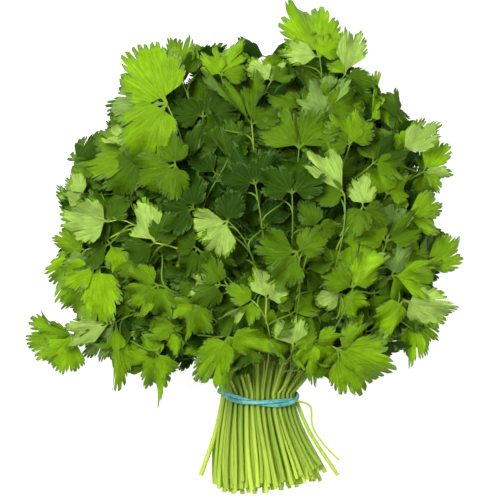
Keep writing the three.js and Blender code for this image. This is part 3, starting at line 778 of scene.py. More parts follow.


# %% Shared pattern: streaks that fan out
# The streaks tint a leaf's green as partly vein colour and partly painted shade of its ribbing;
# they also feed its bump.
def streak_group():
    tree, w, given, result = new_tree("fan_streaks", "ShaderNodeTree", [
        ("Sheet", "NodeSocketVector"), ("Variant", "NodeSocketFloat"),
        ("Streaks", "NodeSocketFloat"), ("Amount", "NodeSocketFloat"),
    ], [("Factor", "NodeSocketFloat")])
    at = w.parts(given["Sheet"])
    y = w.math("MULTIPLY", at[1], USUAL_WIDTH)
    angle = w.math("ARCTAN2", y, w.math("ADD", at[0], 0.05))
    place = w.node("ShaderNodeCombineXYZ", w.math("MULTIPLY", angle, given["Streaks"]),
                   w.math("MULTIPLY", at[0], 3.5), w.math("MULTIPLY", given["Variant"], 40))
    noise = w.named("ShaderNodeTexNoise", Vector=place.outputs[0], Scale=1, Detail=3,
                    Roughness=0.65)
    centred = w.math("SUBTRACT", noise.outputs[0], 0.5)
    tree.links.new(w.math("MULTIPLY_ADD", centred, given["Amount"], 1), result["Factor"])
    return tree


MOTTLE = mottle_group()
VEINS = vein_group()
STREAKS = streak_group()


def use_group(w, group, **inputs):
    """Places a node group in a material with its values."""
    placed = w.node("ShaderNodeGroup", node_tree=group)
    for label, value in inputs.items():
        w.plug(placed.inputs[label.replace("_", " ")], value)
    return placed.outputs[0]


# %% The leaf
UPPER_DARK = linear(24, 58, 2)
UPPER_BRIGHT = linear(138, 184, 14)
LOWER_GREY = linear(104, 142, 66)
LOWER_PALE = linear(168, 200, 92)
STALK_GREEN = linear(142, 178, 60)
THROUGH_LEAF = linear(138, 196, 8)
VEINS_SHOW = 0.16
UPPER_ROUGHNESS = 0.42
LOWER_IS_ROUGHER = 0.25
LEAF_LETS_THROUGH = 0.35


def attribute_of(w, name, part="Fac"):
    return w.node("ShaderNodeAttribute", attribute_name=name).outputs[part]


def bumps(w, height, strength, distance):
    """The surface's tilt where it rises and falls with a height."""
    bump = w.named("ShaderNodeBump", Strength=strength, Distance=distance, Height=height)
    return bump.outputs[0]


def new_material(name):
    material = bpy.data.materials.new(name)
    material.use_nodes = True
    material.node_tree.nodes.clear()
    return material, Wiring(material.node_tree)


def leaf_material():
    material, w = new_material("coriander_leaf")
    tone = attribute_of(w, "tone")
    turned = w.math("SUBTRACT", attribute_of(w, "underside"), attribute_of(w, "flip"))
    lower = w.math("ABSOLUTE", turned)
    sheet = attribute_of(w, "sheet", "Vector")
    place = w.node("ShaderNodeTexCoord").outputs["Object"]

    upper_green = blend(w, tone, UPPER_DARK, UPPER_BRIGHT)
    lower_green = blend(w, tone, LOWER_GREY, LOWER_PALE)
    green = blend(w, lower, upper_green, lower_green)
    veins = use_group(w, VEINS, Sheet=sheet, Main_spacing=0.36, Width=0.016)
    green = blend(w, w.math("MULTIPLY", veins, VEINS_SHOW), green, STALK_GREEN)
    mottled = use_group(w, MOTTLE, Place=place, Scale=160.0, Amount=0.6)
    # Random mottling and the streaks multiply the green; the streaks are partly vein colour and
    # partly painted shade of the ribbing.
    streaked = use_group(w, STREAKS, Sheet=sheet, Variant=tone, Streaks=22.0, Amount=1.6)
    mottle_and_rib_shade = w.math("MULTIPLY", mottled, streaked)
    grey = w.node("ShaderNodeCombineColor", mottle_and_rib_shade, mottle_and_rib_shade, mottle_and_rib_shade)
    green = blend(w, 1.0, green, grey.outputs[0], "MULTIPLY")
    green = blend(w, between(w, w.parts(sheet)[0], 0.03, 0.15, 0.6, 0), green, STALK_GREEN)

    blisters = use_group(w, MOTTLE, Place=place, Scale=650.0, Amount=1.1)
    relief_seen = bumps(w, w.math("ADD", blisters, streaked), 0.75, 0.7 * MM)
    roughness = w.math("MULTIPLY_ADD", lower, LOWER_IS_ROUGHER, UPPER_ROUGHNESS)
    skin = w.named("ShaderNodeBsdfPrincipled", Base_Color=green, Normal=relief_seen,
                   Roughness=roughness, Specular_IOR_Level=0.1)
    glow = w.named("ShaderNodeBsdfTranslucent", Color=blend(w, 0.5, green, THROUGH_LEAF))
    leaf = w.node("ShaderNodeMixShader", LEAF_LETS_THROUGH, skin.outputs[0], glow.outputs[0])
    w.node("ShaderNodeOutputMaterial", leaf.outputs[0])
    return material


# %% The stem
STEM_SHADE = linear(114, 158, 42)
STEM_LIGHT = linear(220, 240, 100)
STEM_PITH = linear(214, 226, 150)
STEM_ROUGHNESS = 0.4
CUT_IS_ROUGHER = 0.3
STEM_LETS_THROUGH = 0.5


def stem_material():
    material, w = new_material("coriander_stem")
    tone = attribute_of(w, "tone")
    place = w.node("ShaderNodeTexCoord").outputs["Object"]
    streaks = w.named("ShaderNodeMapping", Vector=place, Scale=(1, 0.04, 1))
    streaked = use_group(w, MOTTLE, Place=streaks.outputs[0], Scale=1400.0, Amount=1.2)
    green = blend(w, w.math("MULTIPLY", tone, streaked), STEM_SHADE, STEM_LIGHT)
    facing = w.parts(w.node("ShaderNodeNewGeometry").outputs["Normal"])
    cut = between(w, facing[1], -0.75, -0.9)
    green = blend(w, cut, green, STEM_PITH)

    roughness = w.math("MULTIPLY_ADD", cut, CUT_IS_ROUGHER, STEM_ROUGHNESS)
    skin = w.named("ShaderNodeBsdfPrincipled", Base_Color=green, Roughness=roughness,
                   Normal=bumps(w, streaked, 0.35, 0.2 * MM), Specular_IOR_Level=0.4)
    glow = w.named("ShaderNodeBsdfTranslucent", Color=green)
    stem = w.node("ShaderNodeMixShader", STEM_LETS_THROUGH, skin.outputs[0], glow.outputs[0])
    w.node("ShaderNodeOutputMaterial", stem.outputs[0])
    return material


LEAF = leaf_material()
STEM = stem_material()
print("materials:", LEAF.name, "and", STEM.name)

# %% [markdown]
# ## How each leaf hangs
#
# No two leaves on a bunch look alike: some show the bright upper face, some the pale lower
# one, some arch over the edge, and some are folded shut. A few plain words say this for each
# leaf of the upper layer, by the compass heading of its leaflet, and a table turns the words
# into numbers. Whatever has no words hangs a little at random.

# %% Words for leaves
WORDS = {
    "bright": {"tone": 0.95},
    "light": {"tone": 0.75},
    "mid": {"tone": 0.5},
    "dark": {"tone": 0.18},
    "darkest": {"tone": 0.0},
    "grey": {"tone": 0.25, "flip": 1},
    "pale": {"tone": 0.9, "flip": 1},
    "flat": {"bend": 0.1, "fold": 0.05},
    "arched": {"bend": 1.3},
    "drooping": {"bend": 1.0, "fold": -0.3},
    "folded": {"fold": 0.85},
    "curled": {"bend": 1.2, "fold": 0.7},
    "cupped": {"bend": -0.5, "fold": 0.3},
    "long": {"stretch": 1.2},
    "short": {"stretch": 0.84},
    "large": {"stretch": 1.15, "widen": 1.15},
    "wide": {"widen": 1.5},
    "tiny": {"stretch": 0.4, "widen": 0.4},
    "open": {"open": True},
    "clockwise": {"swing": -10},
    "anticlockwise": {"swing": 10},
    "broad": {"form": "broad"},
    "fan": {"form": "fan"},
    "cut": {"form": "cut"},
    "small": {"form": "small"},
}

LOOKS = {
    1: {285: "mid broad flat wide short open", 238: "mid broad flat large open", 345: "mid"},
    2: {245: "light drooping", 283: "mid", 190: "light"},
    3: {264: "light broad flat open long", 308: "light small", 205: "dark tiny", 255: "dark short"},
    4: {197: "pale fan arched long", 262: "mid cut open anticlockwise", 228: "grey fan open flat",
        188: "bright broad flat large anticlockwise", 160: "mid fan flat large anticlockwise",
        232: "bright fan flat large anticlockwise"},
    5: {217: "light", 278: "mid", 160: "mid"},
    6: {180: "pale", 220: "mid", 120: "mid", 318: "mid fan", 240: "mid", 150: "mid"},
    7: {214: "pale folded cut", 150: "bright", 255: "bright", 100: "pale small", 30: "pale small"},
    8: {243: "light broad flat", 272: "light broad flat", 200: "mid fan flat open long"},
    9: {172: "pale broad cupped", 108: "dark", 60: "dark", 247: "grey",
        222: "bright broad flat open anticlockwise", 160: "mid"},
    10: {117: "pale cut flat", 205: "dark", 60: "dark"},
    11: {188: "pale fan", 245: "pale fan", 80: "mid", 205: "dark", 95: "dark", 150: "dark"},
    12: {178: "light fan flat", 145: "pale folded", 222: "dark", 172: "pale",
         215: "pale", 110: "pale"},
    13: {200: "bright fan", 262: "light", 100: "light", 122: "bright folded", 55: "mid"},
    14: {112: "bright fan", 158: "mid", 60: "bright"},
    15: {118: "light broad flat", 178: "grey", 233: "light broad flat", 163: "dark", 205: "dark"},
    16: {100: "mid fan open flat", 50: "dark curled", 150: "mid", 95: "dark", 155: "dark",
         20: "dark"},
    17: {128: "light folded", 86: "light folded", 30: "mid"},
    18: {72: "bright cut", 125: "light", 20: "mid", 142: "pale small", 85: "pale small"},
    19: {98: "pale fan", 30: "mid", 290: "bright fan", 235: "bright", 350: "mid"},
    20: {321: "mid broad flat short", 20: "mid broad", 262: "bright"},
    21: {97: "light cut flat", 50: "light", 150: "mid", 255: "bright", 200: "pale", 320: "bright"},
    22: {354: "pale broad flat clockwise", 292: "dark broad open", 235: "mid",
         300: "light broad open large flat", 262: "mid cut open large flat",
         345: "mid broad open flat"},
    23: {355: "bright fan", 310: "mid", 60: "grey large", 25: "bright large", 100: "mid"},
    24: {172: "bright fan", 238: "bright fan", 35: "bright", 2: "bright small", 70: "mid"},
    25: {83: "grey fan", 28: "dark arched", 150: "mid"},
    26: {8: "bright fan", 325: "mid", 120: "mid", 108: "light", 62: "light", 20: "light"},
    27: {95: "mid fan", 40: "mid", 145: "mid"},
    28: {121: "pale cut", 170: "mid", 90: "pale broad", 330: "mid", 250: "mid"},
    29: {132: "bright fan", 92: "bright", 48: "bright fan"},
    30: {105: "light", 62: "light", 165: "mid", 85: "dark arched", 35: "dark arched", 350: "mid"},
    31: {102: "bright short", 50: "pale fan flat clockwise", 150: "mid", 62: "bright large",
         352: "pale", 300: "mid"},
    32: {88: "grey fan", 140: "grey", 30: "mid"},
    33: {104: "light broad flat long", 168: "pale", 52: "bright"},
    34: {75: "pale fan flat open", 330: "dark broad", 125: "mid", 84: "light folded",
         40: "light tiny"},
    43: {88: "dark tiny"},
    48: {349: "dark tiny"},
    51: {102: "dark tiny", 176: "dark tiny", 10: "dark tiny"},
}

# How far a leaflet's heading may be from the one that its words are given for, in degrees.
SAME_HEADING = 5


def words_for(sprig_name, leaflet):
    """The words for the leaflet of a sprig that heads this way, if there are any."""
    said = LOOKS.get(int(sprig_name[-2:]), {})
    heading = math.degrees(math.atan2(leaflet["tipward"].y, leaflet["tipward"].x)) % 360
    off = {key: abs((heading - key + 180) % 360 - 180) for key in said}
    nearest = min(off, key=off.get, default=None)
    return said[nearest] if nearest is not None and off[nearest] < SAME_HEADING else ""


# %% From words to numbers
# A leaflet shorter than this is a small one. Of the others, slim ones are cut deepest.
SMALL_LEAFLET = 17 * MM
SLIM = 0.62
BROAD = 0.8
FLIPPED_BY_CHANCE = 0.12
# How far down a leaf can point at its end, in radians.
HANGING = 1.15
# A bent leaf is drawn longer, so that it reaches as far as a flat one, but not by more.
LONGER_BY_BEND = 1.25


def form_for(leaflet):
    """The form of leaflet that has about these proportions."""
    slim = leaflet["width"] / leaflet["length"]
    if leaflet["length"] < SMALL_LEAFLET:
        return "small"
    return "cut" if slim < SLIM else "broad" if slim > BROAD else "fan"


def hung(leaflet, words, rng):
    """A leaflet's layout point: where it is, which drawn leaflet it takes and how it hangs."""
    numbers = {
        "form": form_for(leaflet),
        "tone": rng.uniform(0.35, 0.85),
        "flip": 1 if rng.random() < FLIPPED_BY_CHANCE else 0,
        "bend": rng.uniform(0.1, 0.9),
        "fold": rng.uniform(-0.3, 0.55),
        "twist": rng.uniform(-0.5, 0.5),
        "ruffle": rng.uniform(0.7, 1.4),
        "stretch": 1.0,
        "widen": 1.0,
        "open": False,
        "swing": 0,
    }
    for word in words.split():
        numbers.update(WORDS[word])
        if word in ("bright", "light", "mid", "dark", "darkest"):
            numbers["flip"] = 0
    numbers["tone"] = clamp(numbers["tone"] + rng.uniform(-0.1, 0.1), 0, 1)
    numbers["shape"] = rng.choice(SHAPE_OF[numbers.pop("form")])
    turned = Matrix.Rotation(math.radians(numbers.pop("swing")), 3, "Z")
    tipward, face = turned @ leaflet["tipward"], turned @ leaflet["face"]
    leaflet = {**leaflet, "tipward": tipward, "face": face}
    steep = math.asin(clamp(-tipward.z, 0, 1))
    numbers["bend"] = min(numbers["bend"], max(HANGING - steep, 0.1))
    numbers["across"] = face.cross(tipward)
    if numbers.pop("open"):
        numbers["across"] = Vector((0, 0, 1)).cross(tipward).normalized()
        numbers["face"] = tipward.cross(numbers["across"])
    numbers["width"] = leaflet["width"] * numbers["widen"]
    numbers.update(kept_off_table(leaflet, numbers))
    arc = max(abs(numbers["bend"]), 0.01)
    longer = min(arc / math.sin(arc), LONGER_BY_BEND)
    numbers["length"] = leaflet["length"] * numbers["stretch"] * longer
    return {**leaflet, **numbers}


# %% Keeping low leaves off the table
LOWEST = 0.8 * MM
LOW = 4 * MM
LOW_LIFT = 2.4 * MM
# How much a leaflet may bend, fold and wave for the room under it.
BEND_FOR_ROOM = 1.2
FOLD_FOR_ROOM = 0.4
WAVE_FOR_ROOM = 1.4
LEAST_BEND = 0.05
LEAST_WAVE = 0.08


def kept_off_table(leaflet, numbers):
    """The bend, fold and waves that keep a leaflet that hangs low above the table."""
    hub, tipward, length = leaflet["hub"], leaflet["tipward"], leaflet["length"]
    lowest = min(hub.z, hub.z + tipward.z * length)
    room = max(lowest - LOWEST, 0)
    lift = max(LOWEST - lowest, 0) + (LOW_LIFT if lowest < LOW else 0)
    return {
        "hub": hub + Vector((0, 0, lift)),
        "bend": clamp(numbers["bend"], -1, max(BEND_FOR_ROOM * room / length, LEAST_BEND)),
        "fold": max(numbers["fold"], -FOLD_FOR_ROOM * room / leaflet["width"]),
        "ruffle": min(numbers["ruffle"], LEAST_WAVE + WAVE_FOR_ROOM * room / length),
    }


# %% Layouts that the trees read
VECTORS = ("hub", "tipward", "across", "face")
NUMBERS = ("length", "width", "bend", "fold", "twist", "ruffle", "tone", "flip")


def leaf_layout(leaflets):
    """A mesh of loose points that carry what the leaf tree reads."""
    mesh = bpy.data.meshes.new("leaf_layout")
    mesh.from_pydata([leaflet["hub"] for leaflet in leaflets], [], [])
    for name in VECTORS:
        carry(mesh, name, [c for leaflet in leaflets for c in leaflet[name]], "FLOAT_VECTOR")
    for name in NUMBERS:
        carry(mesh, name, [float(leaflet[name]) for leaflet in leaflets])
    carry(mesh, "shape", [leaflet["shape"] for leaflet in leaflets], "INT")
    return mesh


def stem_layout(lines):
    """A mesh of edge chains, one for each (points, girths, tones), for the stem tree."""
    vertices = [point for points, _, _ in lines for point in points]
    edges = []
    start = 0
    for points, _, _ in lines:
        edges += [(start + k, start + k + 1) for k in range(len(points) - 1)]
        start += len(points)
    mesh = bpy.data.meshes.new("stem_layout")
    mesh.from_pydata(vertices, edges, [])
    carry(mesh, "girth", [girth for _, girths, _ in lines for girth in girths])
    carry(mesh, "tone", [tone for _, _, tones in lines for tone in tones])
    return mesh


# %% Growing leaves or stems from a list
STEM_RIBS = 5
RIB_DEPTH = 0.1
BLADE_THICKNESS = 0.28 * MM


def grown_leaves(name, leaflets):
    return grown(name, leaf_layout(leaflets), HANG_LEAFLETS, Leaf_shapes=shape_shelf,
                 Blade_thickness=BLADE_THICKNESS, Leaf_material=LEAF)


def grown_stems(name, lines):
    return grown(name, stem_layout(lines), DRAW_STEMS, Ribs=STEM_RIBS, Rib_depth=RIB_DEPTH,
                 Stem_material=STEM)


# %% [markdown]
# ## More leaves than the model holds
#
# The imported model has the leaves that make the outline and the top layer. A real bunch has
# more below them: each stem carries smaller leaves on its way up, and the stems in the middle
# of the neck end in leaves of their own. They close the crown and give it depth, and those of
# the middle take dark tones as painted shade. They stay under the top layer and inside its
# outline, which is tested against the leaves that were read from the model.

# %% The crown's surface
# The first sprigs make the top layer. Where its leaves are is said by their middles.
TOP_SPRIGS = 34
MIDDLE_SHARE = 0.55
CROWN_BLUR = 16 * MM
plan = np.array([leaflet["hub"] + leaflet["tipward"] * leaflet["length"] * MIDDLE_SHARE
                 for sprig in sprigs[:TOP_SPRIGS] for leaf in sprig["leaves"] for leaflet in leaf])
CROWN_CENTRE = (plan.max(axis=0) + plan.min(axis=0)) / 2
CROWN_REACH = (plan.max(axis=0) - plan.min(axis=0)) / 2


def crown_height(spot):
    """How high the top layer of leaves is over a place."""
    off = np.hypot(plan[:, 0] - spot.x, plan[:, 1] - spot.y)
    near = np.exp(-0.5 * (off / CROWN_BLUR) ** 2) + 1e-9
    return float((plan[:, 2] * near).sum() / near.sum())


def out_from_centre(spot):
    """0 at the middle of the crown and about 1 at its rim."""
    return math.hypot((spot.x - CROWN_CENTRE[0]) / CROWN_REACH[0],
                      (spot.y - CROWN_CENTRE[1]) / CROWN_REACH[1])


print("crown:", round(crown_height(Vector((0, 0.02, 0))) / MM), "mm high at its middle")

# %% What lies under the top layer
SURROUND_WITHIN = 45 * MM
SURROUND_REACH = 0.86
WAYS_ROUND = 6


def under_leaves(spot, margin):
    """Whether a place lies under the top layer: near one of its leaves, or with some all round."""
    east, north = plan[:, 0] - spot.x, plan[:, 1] - spot.y
    off = np.hypot(east, north)
    if off.min() < margin:
        return True
    if out_from_centre(spot) > SURROUND_REACH:
        return False
    ways = np.floor(np.arctan2(north, east)[off < SURROUND_WITHIN] / (2 * math.pi / WAYS_ROUND))
    return len(set(ways)) == WAYS_ROUND


# %% A small leaf of three leaflets
TIP_MARGIN = 8 * MM
LOWEST_TIP = 9 * MM
# How far its side leaflets turn away, in degrees, and how long they are for the middle one.
SIDE_TURN = (68, 90)
SIDE_LEAFLET = 0.82
# How long and how wide leaflets are, as shares of their size and of their length.
LENGTHS = (0.85, 1.1)
WIDTHS = (0.68, 0.88)
# How far a tip follows the crown's slope, how it strays from there and how a leaflet tips.
FOLLOWS_CROWN = 0.6
STRAYS = (-4, 3)
TIPS_SIDEWAYS = (-0.8, 0.8)


def small_leaf(hub, heading, size, rng, depth):
    """Three leaflets round a hub, lying along the crown's slope this far under it."""
    leaflets = []
    left, right = rng.uniform(*SIDE_TURN), -rng.uniform(*SIDE_TURN)
    for turn, share in ((0, 1.0), (left, SIDE_LEAFLET), (right, SIDE_LEAFLET)):
        angle = heading + math.radians(turn)
        length = size * share * rng.uniform(*LENGTHS)
        tip = hub + Vector((math.cos(angle), math.sin(angle), 0)) * length
        if not under_leaves(tip, TIP_MARGIN):
            continue
        tip.z = mix(hub.z, crown_height(tip) - depth, FOLLOWS_CROWN) + rng.uniform(*STRAYS) * MM
        tip.z = max(tip.z, LOWEST_TIP)
        tipward = (tip - hub).normalized()
        level = Vector((-math.sin(angle), math.cos(angle), rng.uniform(*TIPS_SIDEWAYS)))
        face = tipward.cross(level.normalized()).normalized()
        leaflets.append({"hub": hub, "tipward": tipward, "face": face, "length": length,
                         "width": length * rng.uniform(*WIDTHS)})
    return leaflets


# %% [markdown]
# ## The sprigs
#
# A sprig is one grown thing: a stem that thins towards its leaves, side stalks, and leaflets.
# Its green parts are two pieces here, because stems and leaves have finishes of their own.
# Up to five small side leaves are added to each stem on its way up, wherever leaves of the top
# layer hide where they are joined. Cut ends are stout and uneven, and stems thin upwards.

# %% Sizes of stems
SPREAD_TO_SIDE = 17 * MM
SIDE_CUT = 6 * MM
RIGHT_CUT_SHORTER = 1.4
CUT_UNEVEN = 4 * MM
CUT_SHORTER = (-0.4, 1)
CUT_ASIDE = 1 * MM
# How far a stem bows aside and up, in mm, and how much of that it bows back at the band.
BOW_ASIDE = 2
BOW_UP = 0.6
BOWS_BACK = 0.3
LEFT_BULGE = 3 * MM
FAN_OUT = 18 * MM
STEPS_BELOW_BAND = 10
STEPS_TO_LEAF = 16
STEPS_OF_STALK = 8
STEPS_OF_SMALL_STALK = 6
# How a stem's tone differs at its cut end and at the band.
TONE_AT_CUT = 0.25
TONE_AT_BAND = -0.15
# How fast a stem thins above the band, and where on its way up its tone begins to change.
THINS_ABOVE = 1.7
TONE_TURNS = 3
TONE_WAITS = 0.8
CUT_GIRTH = 1.3 * MM
BAND_GIRTH = 0.95 * MM
TIP_GIRTH = 0.4 * MM
SIDE_GIRTH = 0.5 * MM
# How stout a stem is, from the slimmest to the stoutest.
STOUT = (0.8, 1.12)


def loosened(below, rng):
    """The curve below the band with an uneven cut and a slight bow of its own."""
    end, low, high, band = below
    share = clamp((end.x - band.x) / SPREAD_TO_SIDE, -1, 1)
    left = clamp((NECK_CENTRE.x - band.x) / NECK_HALF.x, 0, 1)
    bulge = Vector((LEFT_BULGE * left * left, 0, 0))
    bow = Vector((rng.uniform(-BOW_ASIDE, BOW_ASIDE), 0, rng.uniform(-BOW_UP, BOW_UP))) * MM
    cut = end + Vector((rng.uniform(-1, 1) * CUT_ASIDE, 0, 0))
    shorter = SIDE_CUT * share * share * (RIGHT_CUT_SHORTER if share > 0 else 1)
    cut.y += rng.uniform(*CUT_SHORTER) * CUT_UNEVEN + shorter
    return [cut, low + bow - bulge, high - bow * BOWS_BACK - bulge, band]


def fanned(above):
    """The curve above the band, leaning out to the side it stands on."""
    share = (above[0].x - NECK_CENTRE.x) / NECK_HALF.x
    return [above[0], above[1] + Vector((FAN_OUT * share, 0, 0)), above[2], above[3]]


def stem_line(below, above, tone, tip_tone, stout):
    """A whole stem from its cut end to its leaf, as a line for the stem tree."""
    shares = [k / STEPS_BELOW_BAND for k in range(STEPS_BELOW_BAND)]
    points = [cubic(below, share) for share in shares]
    girths = [stout * mix(CUT_GIRTH, BAND_GIRTH, share) for share in shares]
    tones = [tone + mix(TONE_AT_CUT, TONE_AT_BAND, share) for share in shares]
    for k in range(STEPS_TO_LEAF + 1):
        share = k / STEPS_TO_LEAF
        points.append(cubic(above, share))
        girths.append(stout * mix(BAND_GIRTH, TIP_GIRTH, min(THINS_ABOVE * share, 1)))
        tones.append(mix(tone, tip_tone, clamp(TONE_TURNS * share - TONE_WAITS, 0, 1)))
    return points, girths, tones


def stalk_line(curve, tone, steps):
    """A leaf's stalk from the stem to its hub, as a line for the stem tree."""
    shares = [k / steps for k in range(steps + 1)]
    girths = [mix(SIDE_GIRTH, TIP_GIRTH, share) for share in shares]
    return [cubic(curve, share) for share in shares], girths, [tone] * len(shares)


# %% Side leaves on the way up
SIDE_WORDS = ("small mid", "small dark", "small dark", "small light")
SIDE_LEAVES_AT = (0.4, 0.54, 0.68, 0.8, 0.92)
HUB_MARGIN = 10 * MM
# How far a side leaf's hub is from its stem, aside and onward, and how large it is, in mm.
ASIDE = (9, 17)
ONWARD = (8, 16)
SIDE_SIZES = (18, 26)
# How deep under the crown side leaves begin, at its middle and at its rim, in mm.
SHALLOWEST = (10, 2)
RISES_TO_CROWN = 0.75


def side_leaves(main, rng, deepest):
    """Small leaves that leave a stem on alternate sides, each with its stalk."""
    leaves = []
    turn = rng.choice((-1, 1))
    for share in SIDE_LEAVES_AT:
        start = cubic(main, share)
        along = cubic_slope(main, share)
        aside = Vector((-along.y, along.x, 0)).normalized() * turn
        turn = -turn
        hub = start + aside * rng.uniform(*ASIDE) * MM + along * rng.uniform(*ONWARD) * MM
        if not under_leaves(hub, HUB_MARGIN):
            continue
        out_share = min(out_from_centre(hub), 1)
        depth = rng.uniform(mix(*SHALLOWEST, out_share), deepest) * MM
        hub.z = max(mix(start.z, crown_height(hub) - depth, RISES_TO_CROWN), LOWEST_TIP)
        out = hub - start
        size = rng.uniform(*SIDE_SIZES) * MM
        leaflets = small_leaf(hub, math.atan2(out.y, out.x), size, rng, depth)
        if leaflets:
            curve = steered(start, along, hub, out.normalized(), SMALL_STALK_EARLY)
            leaves.append((leaflets, curve))
    return leaves


# %% Full size, with painted shade inside and painted light at the rim
# The model's plates are drawn inside the blades they stand for.
FULLER = 1.08
WIDER = 1.25
LEAST_HELD = 0.35
HELD_STEP = 0.1
HELD_MARGIN = 5 * MM
# Painted shade and painted light: a leaflet's tone falls to nothing at the crown's middle and is
# raised by up to this factor at its rim.
LIGHT_AT_RIM = 1.65
FULL_LIGHT_AT = 0.87
LIGHT_FALLS = 1.85


def full_size(leaflet, on_top):
    """A leaflet of the model at its full size, or held back where it would leave the outline."""
    held = 1.0
    whole = leaflet["tipward"] * leaflet["length"]
    while not on_top and held > LEAST_HELD:
        if under_leaves(leaflet["hub"] + whole * held, HELD_MARGIN):
            break
        held -= HELD_STEP
    return {**leaflet, "length": leaflet["length"] * FULLER * held,
            "width": leaflet["width"] * WIDER * held}


def painted_shade_and_light(leaflet):
    """A leaflet's tone is darkened towards the middle of the crown, where less light comes, and
    raised towards its rim: painted shade and painted light.
    """
    if leaflet["flip"]:
        return leaflet
    out = clamp(out_from_centre(leaflet["hub"]) / FULL_LIGHT_AT, 0, 1)
    return {**leaflet, "tone": min(leaflet["tone"] * LIGHT_AT_RIM * out ** LIGHT_FALLS, 1)}


# %% Growing every sprig
SPRIG_SEEDS = 1000
SPRIG_TONES = (0.3, 0.9)
STALK_TONES = {7: 0.8, 9: 0.7, 10: 0.9, 14: 0.2, 15: 0.4, 16: 0.4, 17: 0.4, 28: 0.2}
USUAL_STALK_TONE = 0.12
SMALL_STALK_TONE = 0.1
DEEPEST_ON_SPRIG = 16


def grow_sprig(sprig, number):
    """Grows a sprig's leaves and stems, and tells how many leaflets it has."""
    rng = random.Random(SPRIG_SEEDS + number)
    tone = rng.uniform(*SPRIG_TONES)
    tip_tone = STALK_TONES.get(int(sprig["name"][-2:]), USUAL_STALK_TONE)
    lines = [stem_line(loosened(sprig["below"], rng), fanned(sprig["above"]), tone, tip_tone,
                       rng.uniform(*STOUT))]
    lines += [stalk_line(curve, tip_tone, STEPS_OF_STALK) for curve in sprig["stalks"]]
    leaflets = []
    for leaf in sprig["leaves"]:
        for leaflet in leaf:
            whole = full_size(leaflet, number < TOP_SPRIGS)
            leaflets.append(painted_shade_and_light(hung(whole, words_for(sprig["name"], leaflet), rng)))
    for small, curve in side_leaves(sprig["above"], rng, DEEPEST_ON_SPRIG):
        lines.append(stalk_line(curve, SMALL_STALK_TONE, STEPS_OF_SMALL_STALK))
        leaflets += [painted_shade_and_light(hung(leaflet, rng.choice(SIDE_WORDS), rng)) for leaflet in small]
    stand_for(grown_leaves(sprig["name"] + "_leaves", leaflets), sprig["name"])
    stand_for(grown_stems(sprig["name"] + "_stems", lines), sprig["name"])
    return len(leaflets)


leaf_count = sum(grow_sprig(sprig, number) for number, sprig in enumerate(sprigs))
print("sprigs:", len(sprigs), "with", leaf_count, "leaflets")

# %% [markdown]
# ## The stems in the middle
#
# In the model the middle of the neck is one fluted solid. Here it is what it stands for: stems
# packed side by side, which fan out below the band and rise into the crown above it. Every
# second one carries leaves high in the crown. Of the rest, those in the lower half of the neck
# carry leaves low in it, so that it isn't hollow from the side. Where the stems stand in the
# neck is a plain triangular packing, cut off by the ellipse of stems around it.

# %% Places in the middle
PACKING = 2.1 * MM
RINGS_TAKE = 1.4 * MM
CUT_SPREAD = 3 * MM
MOST_COLUMNS = 9


def middle_places():
    """Places in the neck inside the two rings of sprigs."""
    half_x = NECK_HALF.x - RINGS_TAKE
    half_z = NECK_HALF.z - RINGS_TAKE
    places = []
    rows = int(half_z / (ROW_STEP * PACKING)) + 1
    for row in range(-rows, rows + 1):
        for column in range(-MOST_COLUMNS, MOST_COLUMNS + 1):
            x = (column + 0.5 * (row % 2)) * PACKING
            z = row * ROW_STEP * PACKING
            if math.hypot(x / half_x, z / half_z) < 1:
                places.append((x, z))
    return places


# %% Growing the middle
GOLDEN_TURN = math.radians(137.508)
LEAVES_ON_EVERY = 2
MIDDLE_SEED = 5
LOW_SEED = 8
MIDDLE_TONES = (0.4, 1)
# Leaves of the middle lie deep in the crown and take dark tones: painted shade.
MIDDLE_SHADE_WORDS = ("small mid", "small dark", "small darkest", "small darkest")
MIDDLE_PIECES = 3
# How much of the crown's width and length the hubs spread over.
HUBS_WIDE = 0.92
HUBS_LONG = 0.88
LEAST_OUT = 0.03
LOWEST_HUB = 10 * MM
LOW_HUBS = (LOWEST_HUB, 34 * MM)
# How deep under the crown hubs lie, at its middle, at its rim and at most, and their side
# leaves at most, in mm.
HUB_DEPTHS = (20, 10, 32)
DEEPEST_IN_MIDDLE = 26
DEEPEST_BELOW = 70
MIDDLE_SIZES = (26, 33)
# How much a stem leans aside and up where it leaves the band, for each step straight on, and
# how much it rises where it ends.
LEANS_ASIDE = 0.7
LEANS_UP = 0.08
ARRIVES_RISING = 0.2


def middle_hubs(count, rng):
    """Where the stems of the middle end: spread over the crown, in order from left to right."""
    hubs = []
    for k in range(count):
        out = math.sqrt(rng.uniform(LEAST_OUT, 1))
        turn = k * GOLDEN_TURN
        x = CROWN_CENTRE[0] + HUBS_WIDE * CROWN_REACH[0] * out * math.cos(turn)
        y = CROWN_CENTRE[1] + HUBS_LONG * CROWN_REACH[1] * out * math.sin(turn)
        hubs.append(Vector((x, y, 0)))
    return sorted(hubs, key=lambda hub: math.atan2(hub.x - NECK_CENTRE.x, hub.y - NECK_CENTRE.y))


